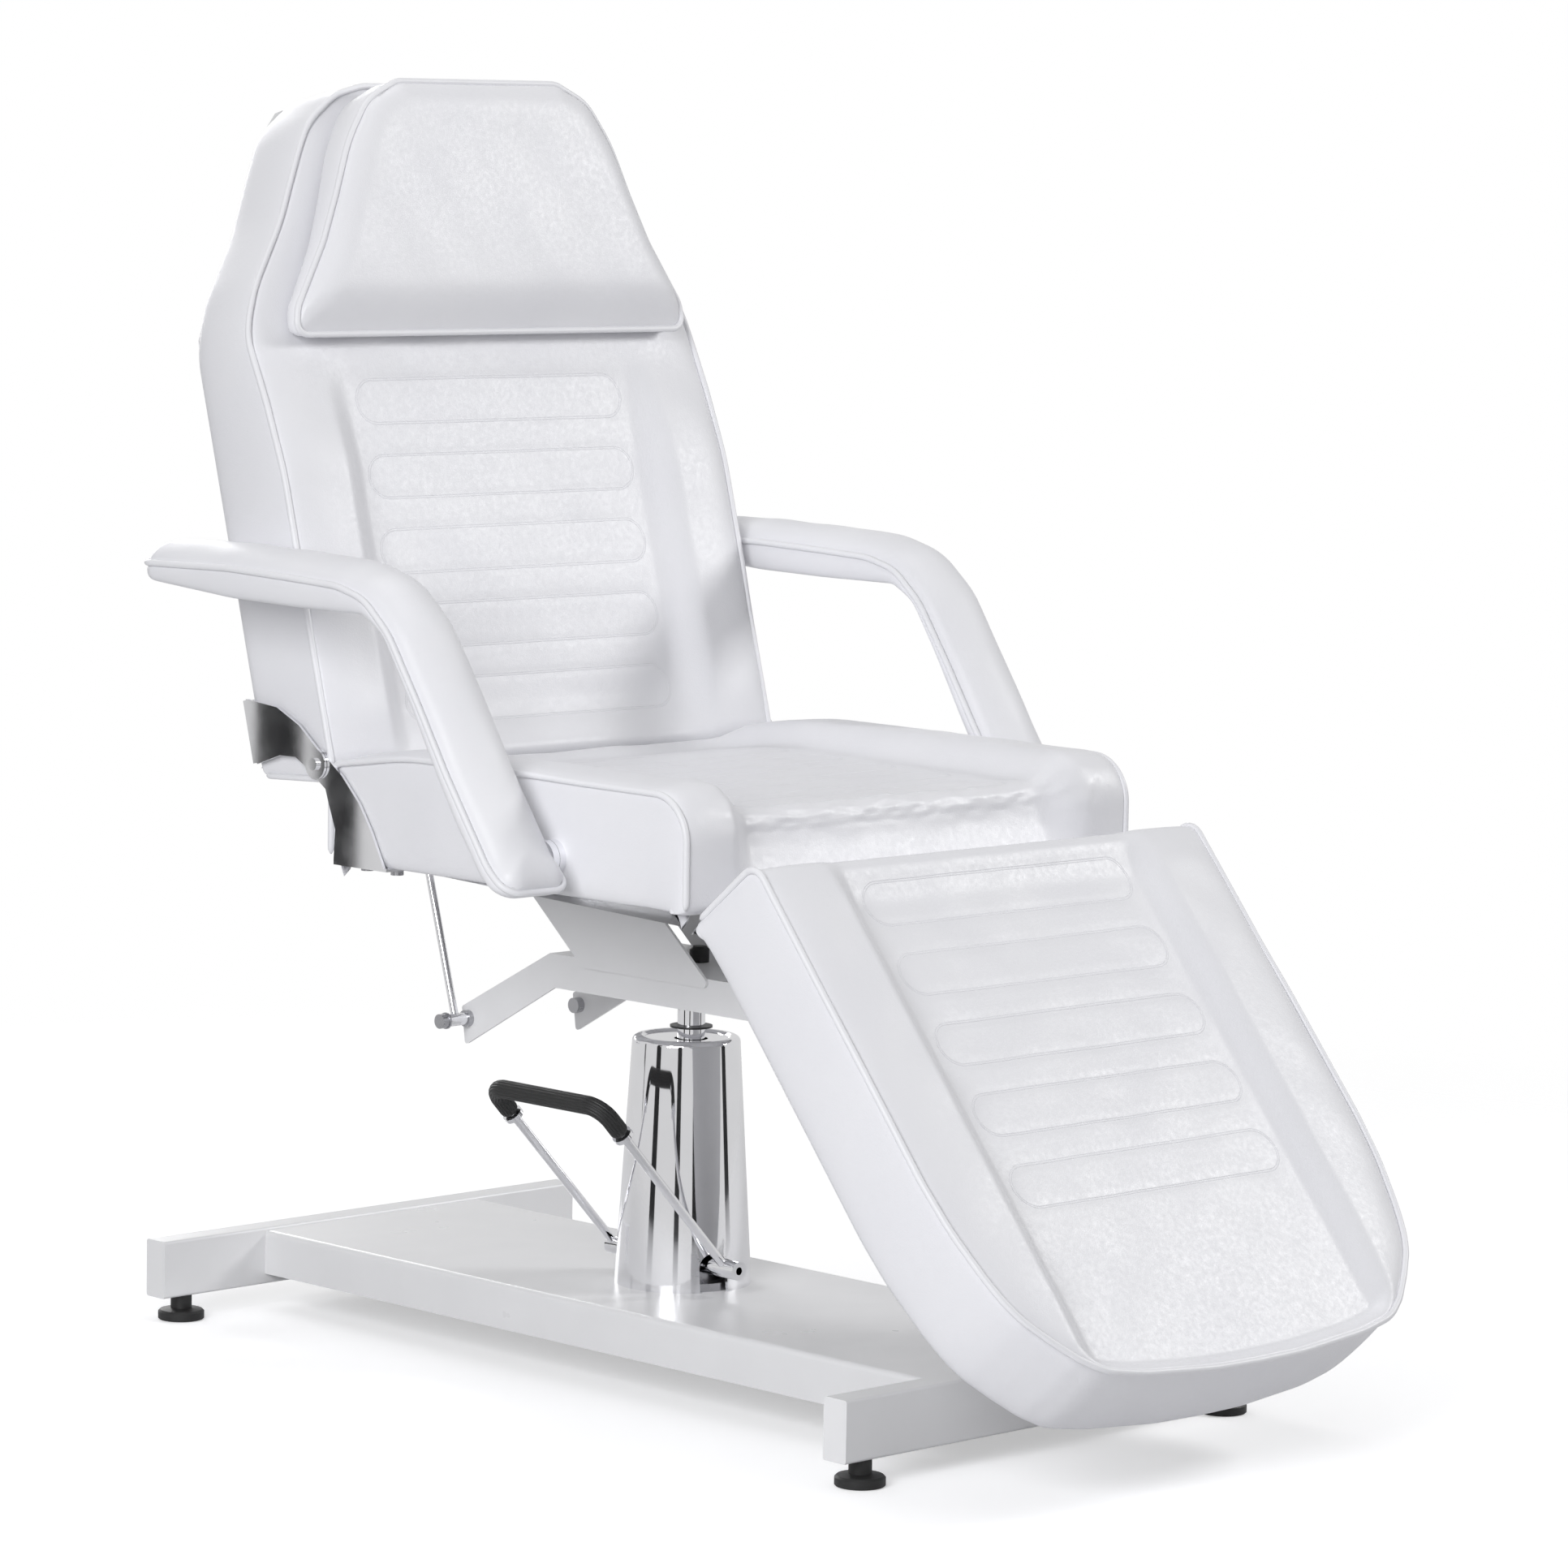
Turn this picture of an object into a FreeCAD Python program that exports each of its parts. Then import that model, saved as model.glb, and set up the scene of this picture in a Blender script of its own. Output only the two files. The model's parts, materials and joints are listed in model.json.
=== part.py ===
import FreeCAD
import Part
import Sketcher
import os

# White treatment chair on a hydraulic foot pump.
# Millimetres, +Z up, origin on the floor on the axis of the pump's ram.
# The sitter looks along -Y, and X runs across the chair.

doc = FreeCAD.newDocument("treatment_chair")
sheet = doc.addObject("Spreadsheet::Sheet", "sizes")
Vec = FreeCAD.Vector
nodes = []
row_count = 0


def size(name, value):
    """One named size in the sheet: its name and its plain number."""
    global row_count
    row_count += 1
    sheet.set("A%d" % row_count, name)
    sheet.set("B%d" % row_count, repr(float(value)))
    sheet.setAlias("B%d" % row_count, name)


def stations(name, pairs):
    """A measured outline: a pair of named cells for each corner of it."""
    firsts = ["%s_first_%d" % (name, k + 1) for k in range(len(pairs))]
    seconds = ["%s_second_%d" % (name, k + 1) for k in range(len(pairs))]
    for k, (first, second) in enumerate(pairs):
        size(firsts[k], first)
        size(seconds[k], second)
    return firsts, seconds


def bound(text):
    """Names the sheet in front of each size in an expression."""
    out = ""
    word = ""
    for c in str(text) + " ":
        if c.isalnum() or c in "_.":
            word += c
            continue
        if word and not word[0].isdigit() and word not in ("cos", "sin", "tan"):
            word = "sizes." + word
        out += word + c
        word = ""
    return out.strip()

SIZES = {
    # Floor frame
    "bar_half": 284,  # half the length of a crossbar
    "bar_wide": 30,  # crossbar width, front to back
    "bar_low": 26,  # underside of the crossbars
    "bar_high": 86,  # top of the crossbars
    "bar_wall": 2.5,  # wall of the crossbar tube
    "cap": 3,  # thickness of the crossbars' end caps
    "bar_y": 502,  # crossbar centre from the ram, front and rear
    "edge_round": 3,  # rounded edges of the welded tubes
    "box_half": 150,  # half width of the base box
    "box_low": 37,  # lower edge of the base box
    "box_high": 83,  # top of the base box
    "box_sheet": 3,  # sheet of the base box
    "box_round": 6,  # bend radius of the base box
    "foot_in": 34,  # feet from the crossbars' ends
    "foot_disc": 24,  # radius of a foot
    "foot_tall": 10,  # height of a foot's disc
    "foot_neck": 11,  # radius of a foot's neck
    "stud": 6,  # radius of a foot's stud
    "stud_top": 60,  # top of a foot's stud
    "run_gap": 0.05,  # radial clearance of a shaft that turns in a hole
    # Pump
    "cover_x": 3,  # cover centre, across
    "cover_y": 10,  # cover centre, front to back
    "cover_foot": 69.3,  # cover radius at the bottom
    "cover_top": 54.3,  # cover radius at the top
    "cover_high": 334.4,  # top of the cover
    "cover_sheet": 3,  # wall of the cover
    "cover_rim": 6,  # rounded rim of the cover
    "cover_dish": 2,  # depth of the dish in the cover's top
    "cover_hole": 17,  # radius of the hole for the ram
    "notch_half": 15,  # half width of the openings for the pedal shaft
    "ram": 14,  # radius of the ram
    "ram_low": 132,  # lower end of the ram
    "ram_high": 405,  # upper end of the ram
    "piston": 19.95,  # radius of the piston
    "piston_tall": 16,  # height of the piston
    "ring_low": 344,  # underside of the ring on the ram
    "ring_tall": 2,  # thickness of the ring
    "ring": 21.5,  # radius of the ring
    "flange": 52,  # radius of the pump's flange
    "flange_high": 91,  # top of the pump's flange
    "block": 38,  # radius of the pump's block
    "block_high": 150,  # top of the pump's block
    "barrel": 30,  # radius of the pump's barrel
    "barrel_bore": 20,  # bore of the barrel
    "barrel_high": 326,  # top of the barrel
    "gland_tall": 16,  # thickness of the barrel's end
    "pump_bolt": 4,  # radius of the pump's bolts
    "pump_bolt_at": 32.5,  # pump bolts from the ram, each way
    # Pedal
    "pedal_x": -15,  # pedal shaft, across
    "pedal_z": 110,  # pedal shaft, height
    "shaft": 8,  # radius of the pedal shaft
    "boss": 9.5,  # radius of the shaft's ends
    "boss_in": 38.3,  # inner end of the shaft's bosses
    "boss_front": 91,  # front end of the shaft
    "boss_rear": 98,  # rear end of the shaft
    "boss_hole": 4,  # radius of the hole in the shaft's front end
    "arm_front": 72,  # front arm of the pedal
    "arm_rear": 90,  # rear arm of the pedal
    "pedal_bar": 4.6,  # radius of the pedal's bar
    "pedal_reach": 249,  # pedal shaft to the cross bar
    "pedal_bend": 31,  # bend radius of the pedal's bar
    "pedal_tilt": 226.3,  # turn of the pedal about Y that points its arms outwards and up
    "grip": 9.5,  # radius of the rubber grip
    "grip_from": 209,  # start of the grip along the arms
    "collar": 10.3,  # radius of the grip's end collars
    "collar_long": 5,  # length of the grip's end collars
    # Beam and seat supports
    "beam_half": 78,  # half width of the beam
    "beam_sheet": 3,  # sheet of the beam
    "beam_front": -220,  # front end of the beam
    "beam_high": 411,  # top of the beam
    "beam_low": 376.5,  # lower edge of the beam
    "beam_bend": 127,  # where the beam's top turns down
    "ear_high_y": 260.8,  # upper corner of the beam's rear end
    "ear_high_z": 341.2,  # upper corner of the beam's rear end, height
    "ear_low_y": 255.2,  # lower corner of the beam's rear end
    "ear_low_z": 301.6,  # lower corner of the beam's rear end, height
    "beam_bend_low": 119.3,  # where the lower edge turns down
    "web_end_y": 196,  # rear end of the beam's top sheet
    "web_end_z": 374.5,  # rear end of the beam's top sheet, height
    "socket_half": 35,  # half length of the block that takes the ram
    "socket_low": 380,  # underside of that block
    "plate": 3.5,  # thickness of the seat support plates
    "plate_low": 402,  # lower edge of the seat support plates
    "plate_front": -115,  # front lower corner of the plates
    "plate_rear": 74,  # rear lower corner of the plates
    "plate_top_front": 17.8,  # front upper corner of the plates
    "plate_top_rear": 205,  # rear upper corner of the plates
    "plate_round": 5,  # rounded lower corners of the plates
    "lip_in": 40,  # inner edge of the lip under the seat
    "bumper": 10,  # radius of the rubber stop on the beam
    "bumper_y": -10,  # rubber stop, front to back
    "bumper_high": 427,  # top of the rubber stop
    # Seat
    "seat_half": 302,  # half width of the seat
    "seat_low": 514,  # underside of the seat
    "board": 12,  # thickness of the boards
    "board_rim": 8,  # from the seat's side to its board
    "board_front": -296,  # front edge of the seat board
    "board_rear": 196,  # rear edge of the seat board
    "seat_panel": 198,  # half width of the sunk middle panel
    "seat_sunk": 613,  # height of the sunk middle panel
    "seat_edge": 10,  # rounded upper edges of the seat's sides
    "screw": 3,  # radius of the bracket screws
    "screw_head": 6.5,  # radius of the screw heads
    "screw_head_tall": 5,  # height of the screw heads
    # Recline hinge
    "hinge_y": 222.6,  # recline hinge, front to back
    "hinge_z": 608.6,  # recline hinge, height
    "hinge_lobe": 15,  # radius of the hinge plates round the pivot
    "hinge_sheet": 3,  # thickness of the hinge plates
    "hinge_skip": 0.4,  # gap between the two hinge plates
    "rivet": 4,  # radius of the hinge rivet
    "rivet_head": 6,  # radius of the rivet's head
    "rivet_dome": 3,  # height of the rivet's head
    "lug_deep": 40,  # depth of the brackets' flanges, in from the seat's side
    "lug_screw_in": 19,  # bracket screws, in from the seat's side
    "lug_front": 116,  # front end of the brackets' flanges
    "lug_rear": 196.3,  # rear end of the brackets' flanges
    "lug_screw_front": 125,  # front screw of a seat bracket
    "lug_screw_rear": 170,  # rear screw of a seat bracket
    "back_lug_low": -66,  # lower end of the backrest brackets' flanges
    "back_lug_high": -2,  # upper end of the backrest brackets' flanges
    "back_screw_high": -18,  # upper screw of a backrest bracket
    "back_screw_low": -50,  # lower screw of a backrest bracket
    # Backrest, measured along its own lean
    "back_lean": 15.5,  # lean of the backrest from upright, degrees
    "back_y": 333.4,  # foot of the backrest's rear face
    "back_z": 665.0,  # foot of the backrest's rear face, height
    "back_panel": 198,  # half width of the backrest's sunk panel
    "back_sunk": 97,  # depth of the backrest at its sunk panel
    "back_inset": 8,  # backrest board inside the cushion's outline
    # Gas springs
    "gas_x": 96,  # gas springs from the middle
    "gas_low_y": 250,  # lower pivot of the gas springs
    "gas_low_z": 330,  # lower pivot of the gas springs, height
    "gas_up_along": 145,  # upper pivot, up the backrest
    "gas_up_off": 18,  # upper pivot, behind the backrest
    "gas_up_y": 389.5,  # upper pivot of the gas springs
    "gas_up_z": 799.9,  # upper pivot of the gas springs, height
    "gas_turn": 16.53,  # lean of the gas springs, degrees
    "gas_rod": 4,  # radius of the rod
    "gas_rod_long": 245,  # lower pivot to the top of the rod
    "gas_tube": 11,  # radius of the cylinder
    "gas_bore": 8,  # bore of the cylinder
    "gas_tube_from": 12,  # upper pivot to the cylinder's end
    "gas_tube_to": 249,  # upper pivot to the cylinder's mouth
    "gas_eye": 6.5,  # radius of the rod's cross tube
    "gas_eye_half": 11.8,  # half length of the rod's cross tube
    "gas_pin": 4,  # radius of the gas springs' pins
    "gas_lug": 8,  # half thickness of the cylinder's eye
    "gas_stub": 5,  # radius of the cylinder's end stub
    "gas_top_eye": 8,  # radius of the cylinder's eye
    "gas_cap": 3,  # thickness of the cylinder's closed end
    "gas_washer": 8.5,  # radius of the washers on the lower pins
    "gas_head": 7.5,  # radius of the lower pins' heads
    "gas_nut": 8,  # radius of the nuts inside the beam
    "gas_nut_tall": 9,  # height of the nuts inside the beam
    "gas_cheek": 3,  # thickness of the upper brackets' cheeks
    "gas_cheek_half": 9,  # half height of the upper brackets' cheeks
    "gas_foot_half": 22,  # half width of the upper brackets' feet
    "gas_foot_tall": 20,  # half height of the upper brackets' feet
    # Leg rest, measured along its own slope
    "leg_drop": 50.3,  # slope of the leg rest, degrees
    "leg_y": -318,  # upper end of the leg rest's underside
    "leg_z": 508,  # upper end of the leg rest's underside, height
    "leg_panel": 195,  # half width of the leg rest's sunk panel
    "leg_sunk": 93,  # depth of the leg rest at its sunk panel
    "leg_inset": 10,  # leg rest board inside the cushion's outline
    "knee_y": -312,  # leg rest hinge, front to back
    "knee_z": 505,  # leg rest hinge, height
    "knuckle": 6,  # radius of the hinge knuckles
    "knee_pin": 3,  # radius of the hinge pins
    "knee_x": 200,  # leg rest hinges from the middle
    "knee_half": 30,  # half length of a hinge
    "knee_mid": 10,  # half length of its middle knuckle
    "leaf": 5,  # thickness of the hinge leaves
    "leaf_long": 50,  # length of the hinge leaves
    "knee_gap": 0.3,  # gap between the hinge knuckles
    # Armrests
    "rest_gap": 16,  # side of the seat to an armrest
    "rest_wide": 82,  # width of an armrest
    "rest_y": -126,  # armrest pivot, front to back
    "rest_z": 550,  # armrest pivot, height
    "rest_disc": 18,  # radius of the pivot discs
    "rest_split": 8,  # side of the seat to where the two discs meet
    "rest_pin": 6,  # radius of the armrest's pin
}

for alias, value in SIZES.items():
    size(alias, value)

BACK_HALF = stations("back_w", [
    (-102, 302), (334, 302), (367, 300), (401, 282), (434, 256), (468, 235),
    (502, 216), (536, 200), (570, 184), (605, 151), (621, 110)])
BACK_SIDE = stations("back_s", [
    (0, -76), (12, -86), (84, -99.8), (90.7, -99.9), (97.2, -98.9), (103, -95.2),
    (106.7, -89.4), (108, -83.9), (108, 235), (101.7, 285), (101.7, 607),
    (91, 621), (14, 621), (0, 608)])
LEG_HALF = stations("leg_w", [
    (2, 300), (350, 300), (400, 296), (451, 285), (480, 276), (500, 265),
    (522, 246), (545, 222), (565, 200), (575, 150), (585, 60)])
LEG_SIDE = stations("leg_s", [
    (5, 0), (2, 4), (2, 90), (14, 103), (574, 103), (585, 92), (585, 16), (572, 0)])
SEAT_SIDE = stations("seat_s", [
    (-304, 514), (-308, 518), (-308, 580), (-303, 598), (-292, 612), (-262, 622),
    (-200, 626), (190, 626), (203, 612), (203, 518), (199, 514)])
PILLOW_HALF = stations("pillow_w", [
    (345, 256), (352, 262), (366, 262), (384, 252), (435, 219), (484, 197),
    (537, 175), (577, 146), (600, 110)])
PILLOW_SIDE = stations("pillow_s", [
    (102, 349), (106, 345), (121, 345), (138, 360), (147, 392), (158, 480),
    (163, 560), (158, 590), (146, 600), (106, 600), (102, 596)])
REST_END = 387
ARM_SIDE = stations("rest_s", [
    (REST_END, 782), (REST_END, 810), (300, 816), (156, 816), (82, 813), (42, 803),
    (-6, 767), (-52, 702), (-94, 637), (-136, 577), (-158, 547), (-170, 528),
    (-160, 513), (-140, 510), (-128, 536), (-91, 586), (-55, 642), (-17, 706),
    (21, 759), (48, 773), (252, 773), (330, 780)])
LOWER_PLATE = stations("plate_s", [
    (210.2, 617), (185, 599.9), (158.6, 575), (139.6, 548.6), (120, 514),
    (116, 511), (196.3, 511), (196.3, 516.8), (194.2, 545.8), (204.6, 570.6),
    (209.8, 584.7), (224, 593.7)])
UPPER_PLATE = stations("upper_s", [
    (331.5, 664.4), (282.8, 660.3), (248.3, 645.3), (218, 622.9), (237.2, 605),
    (253, 613.2), (277.1, 612.7), (312.7, 600.6)])
doc.recompute()


def attach(body, role, name, shift=None):
    """A sketch on one of the body's own planes, moved along its normal."""
    sketch = body.newObject("Sketcher::SketchObject", name)
    plane = [f for f in body.Origin.OriginFeatures if f.Role == role][0]
    sketch.AttachmentSupport = [(plane, "")]
    sketch.MapMode = "FlatFace"
    if shift is not None:
        sketch.setExpression("AttachmentOffset.Base.z", bound(shift))
    return sketch


def polygon(sketch, points):
    """A closed outline whose corners are bound to sizes, given as (across, up)."""
    count = len(points)
    start = [Vec(0, 0, 0)] * count
    for k in range(count):
        turn = FreeCAD.Rotation(Vec(0, 0, 1), 360.0 * k / count)
        start[k] = turn.multVec(Vec(100, 0, 0))
    for k in range(count):
        sketch.addGeometry(Part.LineSegment(start[k], start[(k + 1) % count]))
    for k in range(count):
        sketch.addConstraint(Sketcher.Constraint("Coincident", k, 2, (k + 1) % count, 1))
    for k, (across, up) in enumerate(points):
        n = sketch.addConstraint(Sketcher.Constraint("DistanceX", -1, 1, k, 1, start[k].x))
        sketch.setExpression("Constraints[%d]" % n, bound(across))
        n = sketch.addConstraint(Sketcher.Constraint("DistanceY", -1, 1, k, 1, start[k].y))
        sketch.setExpression("Constraints[%d]" % n, bound(up))


def circle(sketch, across, up, radius):
    """A circle whose centre and radius are bound to sizes."""
    g = sketch.addGeometry(Part.Circle(Vec(1, 1, 0), Vec(0, 0, 1), 5))
    n = sketch.addConstraint(Sketcher.Constraint("DistanceX", -1, 1, g, 3, 1))
    sketch.setExpression("Constraints[%d]" % n, bound(across))
    n = sketch.addConstraint(Sketcher.Constraint("DistanceY", -1, 1, g, 3, 1))
    sketch.setExpression("Constraints[%d]" % n, bound(up))
    n = sketch.addConstraint(Sketcher.Constraint("Radius", g, 5))
    sketch.setExpression("Constraints[%d]" % n, bound(radius))


def pad(body, sketch, length):
    feature = body.newObject("PartDesign::Pad", sketch.Name + "_pad")
    feature.Profile = sketch
    feature.setExpression("Length", bound(length))
    return feature


def prism(name, role, points, low, high):
    """A body with one polygon, padded from low to high along the plane's normal."""
    body = doc.addObject("PartDesign::Body", name)
    sketch = attach(body, role, name + "_outline", low)
    polygon(sketch, points)
    pad(body, sketch, "(%s) - (%s)" % (high, low))
    return body


def rounded(body, keep, radius):
    """Rounds the edges of the body's tip that keep() picks."""
    doc.recompute()
    tip = body.Tip
    names = ["Edge%d" % (k + 1) for k, e in enumerate(tip.Shape.Edges) if keep(e)]
    if not names:
        raise RuntimeError("no edge to round on " + body.Label)
    feature = body.newObject("PartDesign::Fillet", body.Name + "_round")
    feature.Base = (tip, names)
    feature.setExpression("Radius", bound(radius))
    return body


def spun(name, points):
    """A body turned about Z from a closed outline of (radius, height)."""
    body = doc.addObject("PartDesign::Body", name)
    sketch = attach(body, "XZ_Plane", name + "_outline")
    polygon(sketch, points)
    feature = body.newObject("PartDesign::Revolution", name + "_turn")
    feature.Profile = sketch
    feature.ReferenceAxis = (sketch, ["V_Axis"])
    feature.Angle = 360
    return body


FRAMES = {"world": (None, "0", "0"), "back": ("-back_lean", "back_y", "back_z"),
          "leg": ("leg_drop", "leg_y", "leg_z")}


def place(obj, frame="world", x="0", y="0", z="0", axis=None, turn=None):
    """Puts an object in the chair's frame, or in the backrest's or leg rest's."""
    angle, base_y, base_z = FRAMES[frame]
    if angle is None:
        if axis is not None:
            obj.Placement = FreeCAD.Placement(Vec(0, 0, 0), FreeCAD.Rotation(axis, 10))
            obj.setExpression("Placement.Rotation.Angle", bound(turn))
        obj.setExpression("Placement.Base.x", bound(x))
        obj.setExpression("Placement.Base.y", bound(y))
        obj.setExpression("Placement.Base.z", bound(z))
        return obj
    obj.Placement = FreeCAD.Placement(Vec(0, 0, 0), FreeCAD.Rotation(Vec(1, 0, 0), 10))
    obj.setExpression("Placement.Rotation.Angle", bound(angle))
    obj.setExpression("Placement.Base.x", bound(x))
    obj.setExpression("Placement.Base.y", bound(
        "%s + (%s) * cos(%s) - (%s) * sin(%s)" % (base_y, y, angle, z, angle)))
    obj.setExpression("Placement.Base.z", bound(
        "%s + (%s) * sin(%s) + (%s) * cos(%s)" % (base_z, y, angle, z, angle)))
    return obj


def box(name, x, y, z, frame="world"):
    """A block between two ends along each axis, each a pair of expressions."""
    obj = doc.addObject("Part::Box", name)
    obj.setExpression("Length", bound("(%s) - (%s)" % (x[1], x[0])))
    obj.setExpression("Width", bound("(%s) - (%s)" % (y[1], y[0])))
    obj.setExpression("Height", bound("(%s) - (%s)" % (z[1], z[0])))
    return place(obj, frame, x[0], y[0], z[0])


def rod(name, radius, low, high, axis="z", x="0", y="0", z="0"):
    """A cylinder between two ends along one axis."""
    obj = doc.addObject("Part::Cylinder", name)
    obj.setExpression("Radius", bound(radius))
    obj.setExpression("Height", bound("(%s) - (%s)" % (high, low)))
    if axis == "z":
        return place(obj, "world", x, y, low)
    if axis == "x":
        return place(obj, "world", low, y, z, Vec(0, 1, 0), "90")
    return place(obj, "world", x, low, z, Vec(1, 0, 0), "-90")


def leaning(name, radius, low, high, x, y, z):
    """A cylinder along a gas spring's line, from low to high past the point x, y, z."""
    obj = doc.addObject("Part::Cylinder", name)
    obj.setExpression("Radius", bound(radius))
    obj.setExpression("Height", bound("(%s) - (%s)" % (high, low)))
    return place(obj, "world", x, "%s + (%s) * sin(gas_turn)" % (y, low),
                 "%s + (%s) * cos(gas_turn)" % (z, low), Vec(1, 0, 0), "-gas_turn")


def fuse(name, shapes):
    obj = doc.addObject("Part::MultiFuse", name)
    obj.Shapes = shapes
    return obj


def common(name, shapes):
    obj = doc.addObject("Part::MultiCommon", name)
    obj.Shapes = shapes
    return obj


def cut(name, base, tools):
    obj = doc.addObject("Part::Cut", name)
    obj.Base = base
    obj.Tool = tools[0] if len(tools) == 1 else fuse(name + "_tools", tools)
    return obj


def node(name, obj):
    """Marks an object as a finished piece, under the name its file gets."""
    obj.Label = name
    nodes.append(obj)
    return obj


def sides():
    """Both sides of the chair: name, sign and a span of X on that side."""
    return (("right", 1, lambda a, b: (a, b)),
            ("left", -1, lambda a, b: ("-(%s)" % b, "-(%s)" % a)))


BOARD_HALF = "(seat_half - board_rim)"
LUG_IN = "(seat_half - lug_deep)"
LUG_SCREW = "(seat_half - lug_screw_in)"
REST_IN = "(seat_half + rest_gap)"
REST_OUT = "(seat_half + rest_gap + rest_wide)"
REST_SPLIT = "(seat_half + rest_split)"


def rectangle(y, z):
    return [(y[0], z[0]), (y[1], z[0]), (y[1], z[1]), (y[0], z[1])]


def along_x(e):
    return abs(e.tangentAt(e.FirstParameter).x) > 0.999


def upright(e):
    return abs(e.tangentAt(e.FirstParameter).z) > 0.999


# Floor frame: two crossbars of rectangular tube and a folded box between them.
for name, sign in (("front_crossbar", "-"), ("rear_crossbar", "")):
    mid = sign + "bar_y"
    tube = prism(name + "_tube", "YZ_Plane", rectangle(
        (mid + " - bar_wide / 2", mid + " + bar_wide / 2"), ("bar_low", "bar_high")),
        "-bar_half", "bar_half")
    rounded(tube, along_x, "edge_round")
    inner = box(name + "_inner", ("-bar_half - 5", "bar_half + 5"),
                (mid + " - bar_wide / 2 + bar_wall", mid + " + bar_wide / 2 - bar_wall"),
                ("bar_low + bar_wall", "bar_high - bar_wall"))
    holes = [rod(name + "_hole_" + side, "stud + run_gap", "bar_low - 5", "bar_low + 10",
                 x=sg + "(bar_half - foot_in)", y=mid) for side, sg in (("left", "-"), ("right", ""))]
    node(name, cut(name + "_cut", tube, [inner] + holes))
    caps = []
    for side, sg in (("left", "-"), ("right", "")):
        x = ("bar_half - cap", "bar_half") if sg == "" else ("-bar_half", "-bar_half + cap")
        caps.append(box(name + "_cap_" + side, x,
                        (mid + " - bar_wide / 2 + bar_wall", mid + " + bar_wide / 2 - bar_wall"),
                        ("bar_low + bar_wall", "bar_high - bar_wall")))
    if name == "front_crossbar":
        front_caps = caps
node("crossbar_end_caps", fuse("crossbar_end_caps_all", front_caps + caps))

base = prism("base_box_sheet", "XZ_Plane", rectangle(
    ("-box_half", "box_half"), ("box_low", "box_high")),
    "-(bar_y - bar_wide / 2)", "bar_y - bar_wide / 2")
rounded(base, lambda e: abs(e.tangentAt(e.FirstParameter).y) > 0.999
        and e.CenterOfMass.z > SIZES["box_high"] - 8, "box_round")
hollow = box("base_box_hollow", ("-box_half + box_sheet", "box_half - box_sheet"),
             ("-bar_y", "bar_y"), ("box_low - 5", "box_high - box_sheet"))
bolt_spots = [(sx, sy) for sx in ("-", "") for sy in ("-", "")]


def pump_holes(name, low, high):
    return [rod("%s_%d" % (name, k + 1), "pump_bolt", low, high,
                x=sx + "pump_bolt_at", y=sy + "pump_bolt_at")
            for k, (sx, sy) in enumerate(bolt_spots)]


node("base_box", cut("base_box_cut", base,
                     [hollow] + pump_holes("base_hole", "box_low", "box_high + 5")))

# Levelling feet: rubber disc, neck and stud.
for side, sx in (("left", "-"), ("right", "")):
    for end, sy in (("front", "-"), ("rear", "")):
        name = "foot_%s_%s" % (end, side)
        foot = spun(name + "_turned", [
            ("0", "0"), ("foot_disc - 1", "0"), ("foot_disc", "1"),
            ("foot_disc", "foot_tall - 2"), ("foot_disc - 2", "foot_tall"),
            ("foot_neck", "foot_tall + 1.5"), ("foot_neck", "bar_low"),
            ("stud", "bar_low"), ("stud", "stud_top"), ("0", "stud_top")])
        node(name, place(foot, "world", sx + "(bar_half - foot_in)", sy + "bar_y"))

# Pump: flanged block with a cross bore for the pedal shaft, barrel, bolts, cover.
block = spun("pump_block_turned", [
    ("0", "box_high"), ("flange", "box_high"), ("flange", "flange_high"),
    ("block", "flange_high"), ("block", "block_high"), ("barrel_bore", "block_high"),
    ("barrel_bore", "ram_low - 4"), ("0", "ram_low - 4")])
cross = rod("pump_cross_bore", "shaft + run_gap", "-flange", "flange", "y",
            x="pedal_x", z="pedal_z")
node("pump_block", cut("pump_block_cut", block, [cross] + pump_holes(
    "flange_hole", "box_high - 5", "flange_high + 0.01")))
node("pump_barrel", spun("pump_barrel_turned", [
    ("barrel_bore", "block_high"), ("barrel", "block_high"), ("barrel", "barrel_high"),
    ("ram + run_gap", "barrel_high"), ("ram + run_gap", "barrel_high - gland_tall"),
    ("barrel_bore", "barrel_high - gland_tall")]))
bolts = []
for k, (sx, sy) in enumerate(bolt_spots):
    at = {"x": sx + "pump_bolt_at", "y": sy + "pump_bolt_at"}
    bolts.append(fuse("pump_bolt_%d" % (k + 1), [
        rod("pump_shank_%d" % (k + 1), "pump_bolt", "box_high - box_sheet - 8", "flange_high + 3", **at),
        rod("pump_head_%d" % (k + 1), "pump_bolt * 1.6", "flange_high", "flange_high + 5", **at)]))
node("pump_bolts", fuse("pump_bolts_all", bolts))

cover = spun("pump_cover_turned", [
    ("cover_foot", "box_high"), ("cover_top", "cover_high"),
    ("cover_top - 9", "cover_high"), ("cover_top - 12", "cover_high - cover_dish"),
    ("0", "cover_high - cover_dish"), ("0", "cover_high - cover_dish - cover_sheet"),
    ("cover_top - cover_sheet", "cover_high - cover_dish - cover_sheet"),
    ("cover_foot - cover_sheet", "box_high")])
rounded(cover, lambda e: abs(e.BoundBox.ZMax - SIZES["cover_high"]) < 0.01
        and e.BoundBox.ZLength < 0.01
        and e.BoundBox.XLength > 1.9 * SIZES["cover_top"], "cover_rim")
place(cover, "world", "cover_x", "cover_y")
notch = fuse("cover_notch", [
    box("cover_notch_low", ("pedal_x - notch_half", "pedal_x + notch_half"),
        ("-120", "120"), ("box_high - 5", "pedal_z - 2")),
    rod("cover_notch_arch", "notch_half", "-120", "120", "y", x="pedal_x", z="pedal_z - 2")])
node("pump_cover", cut("pump_cover_cut", cover, [
    notch, rod("cover_ram_hole", "cover_hole", "cover_high - 20", "cover_high + 5")]))

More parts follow.
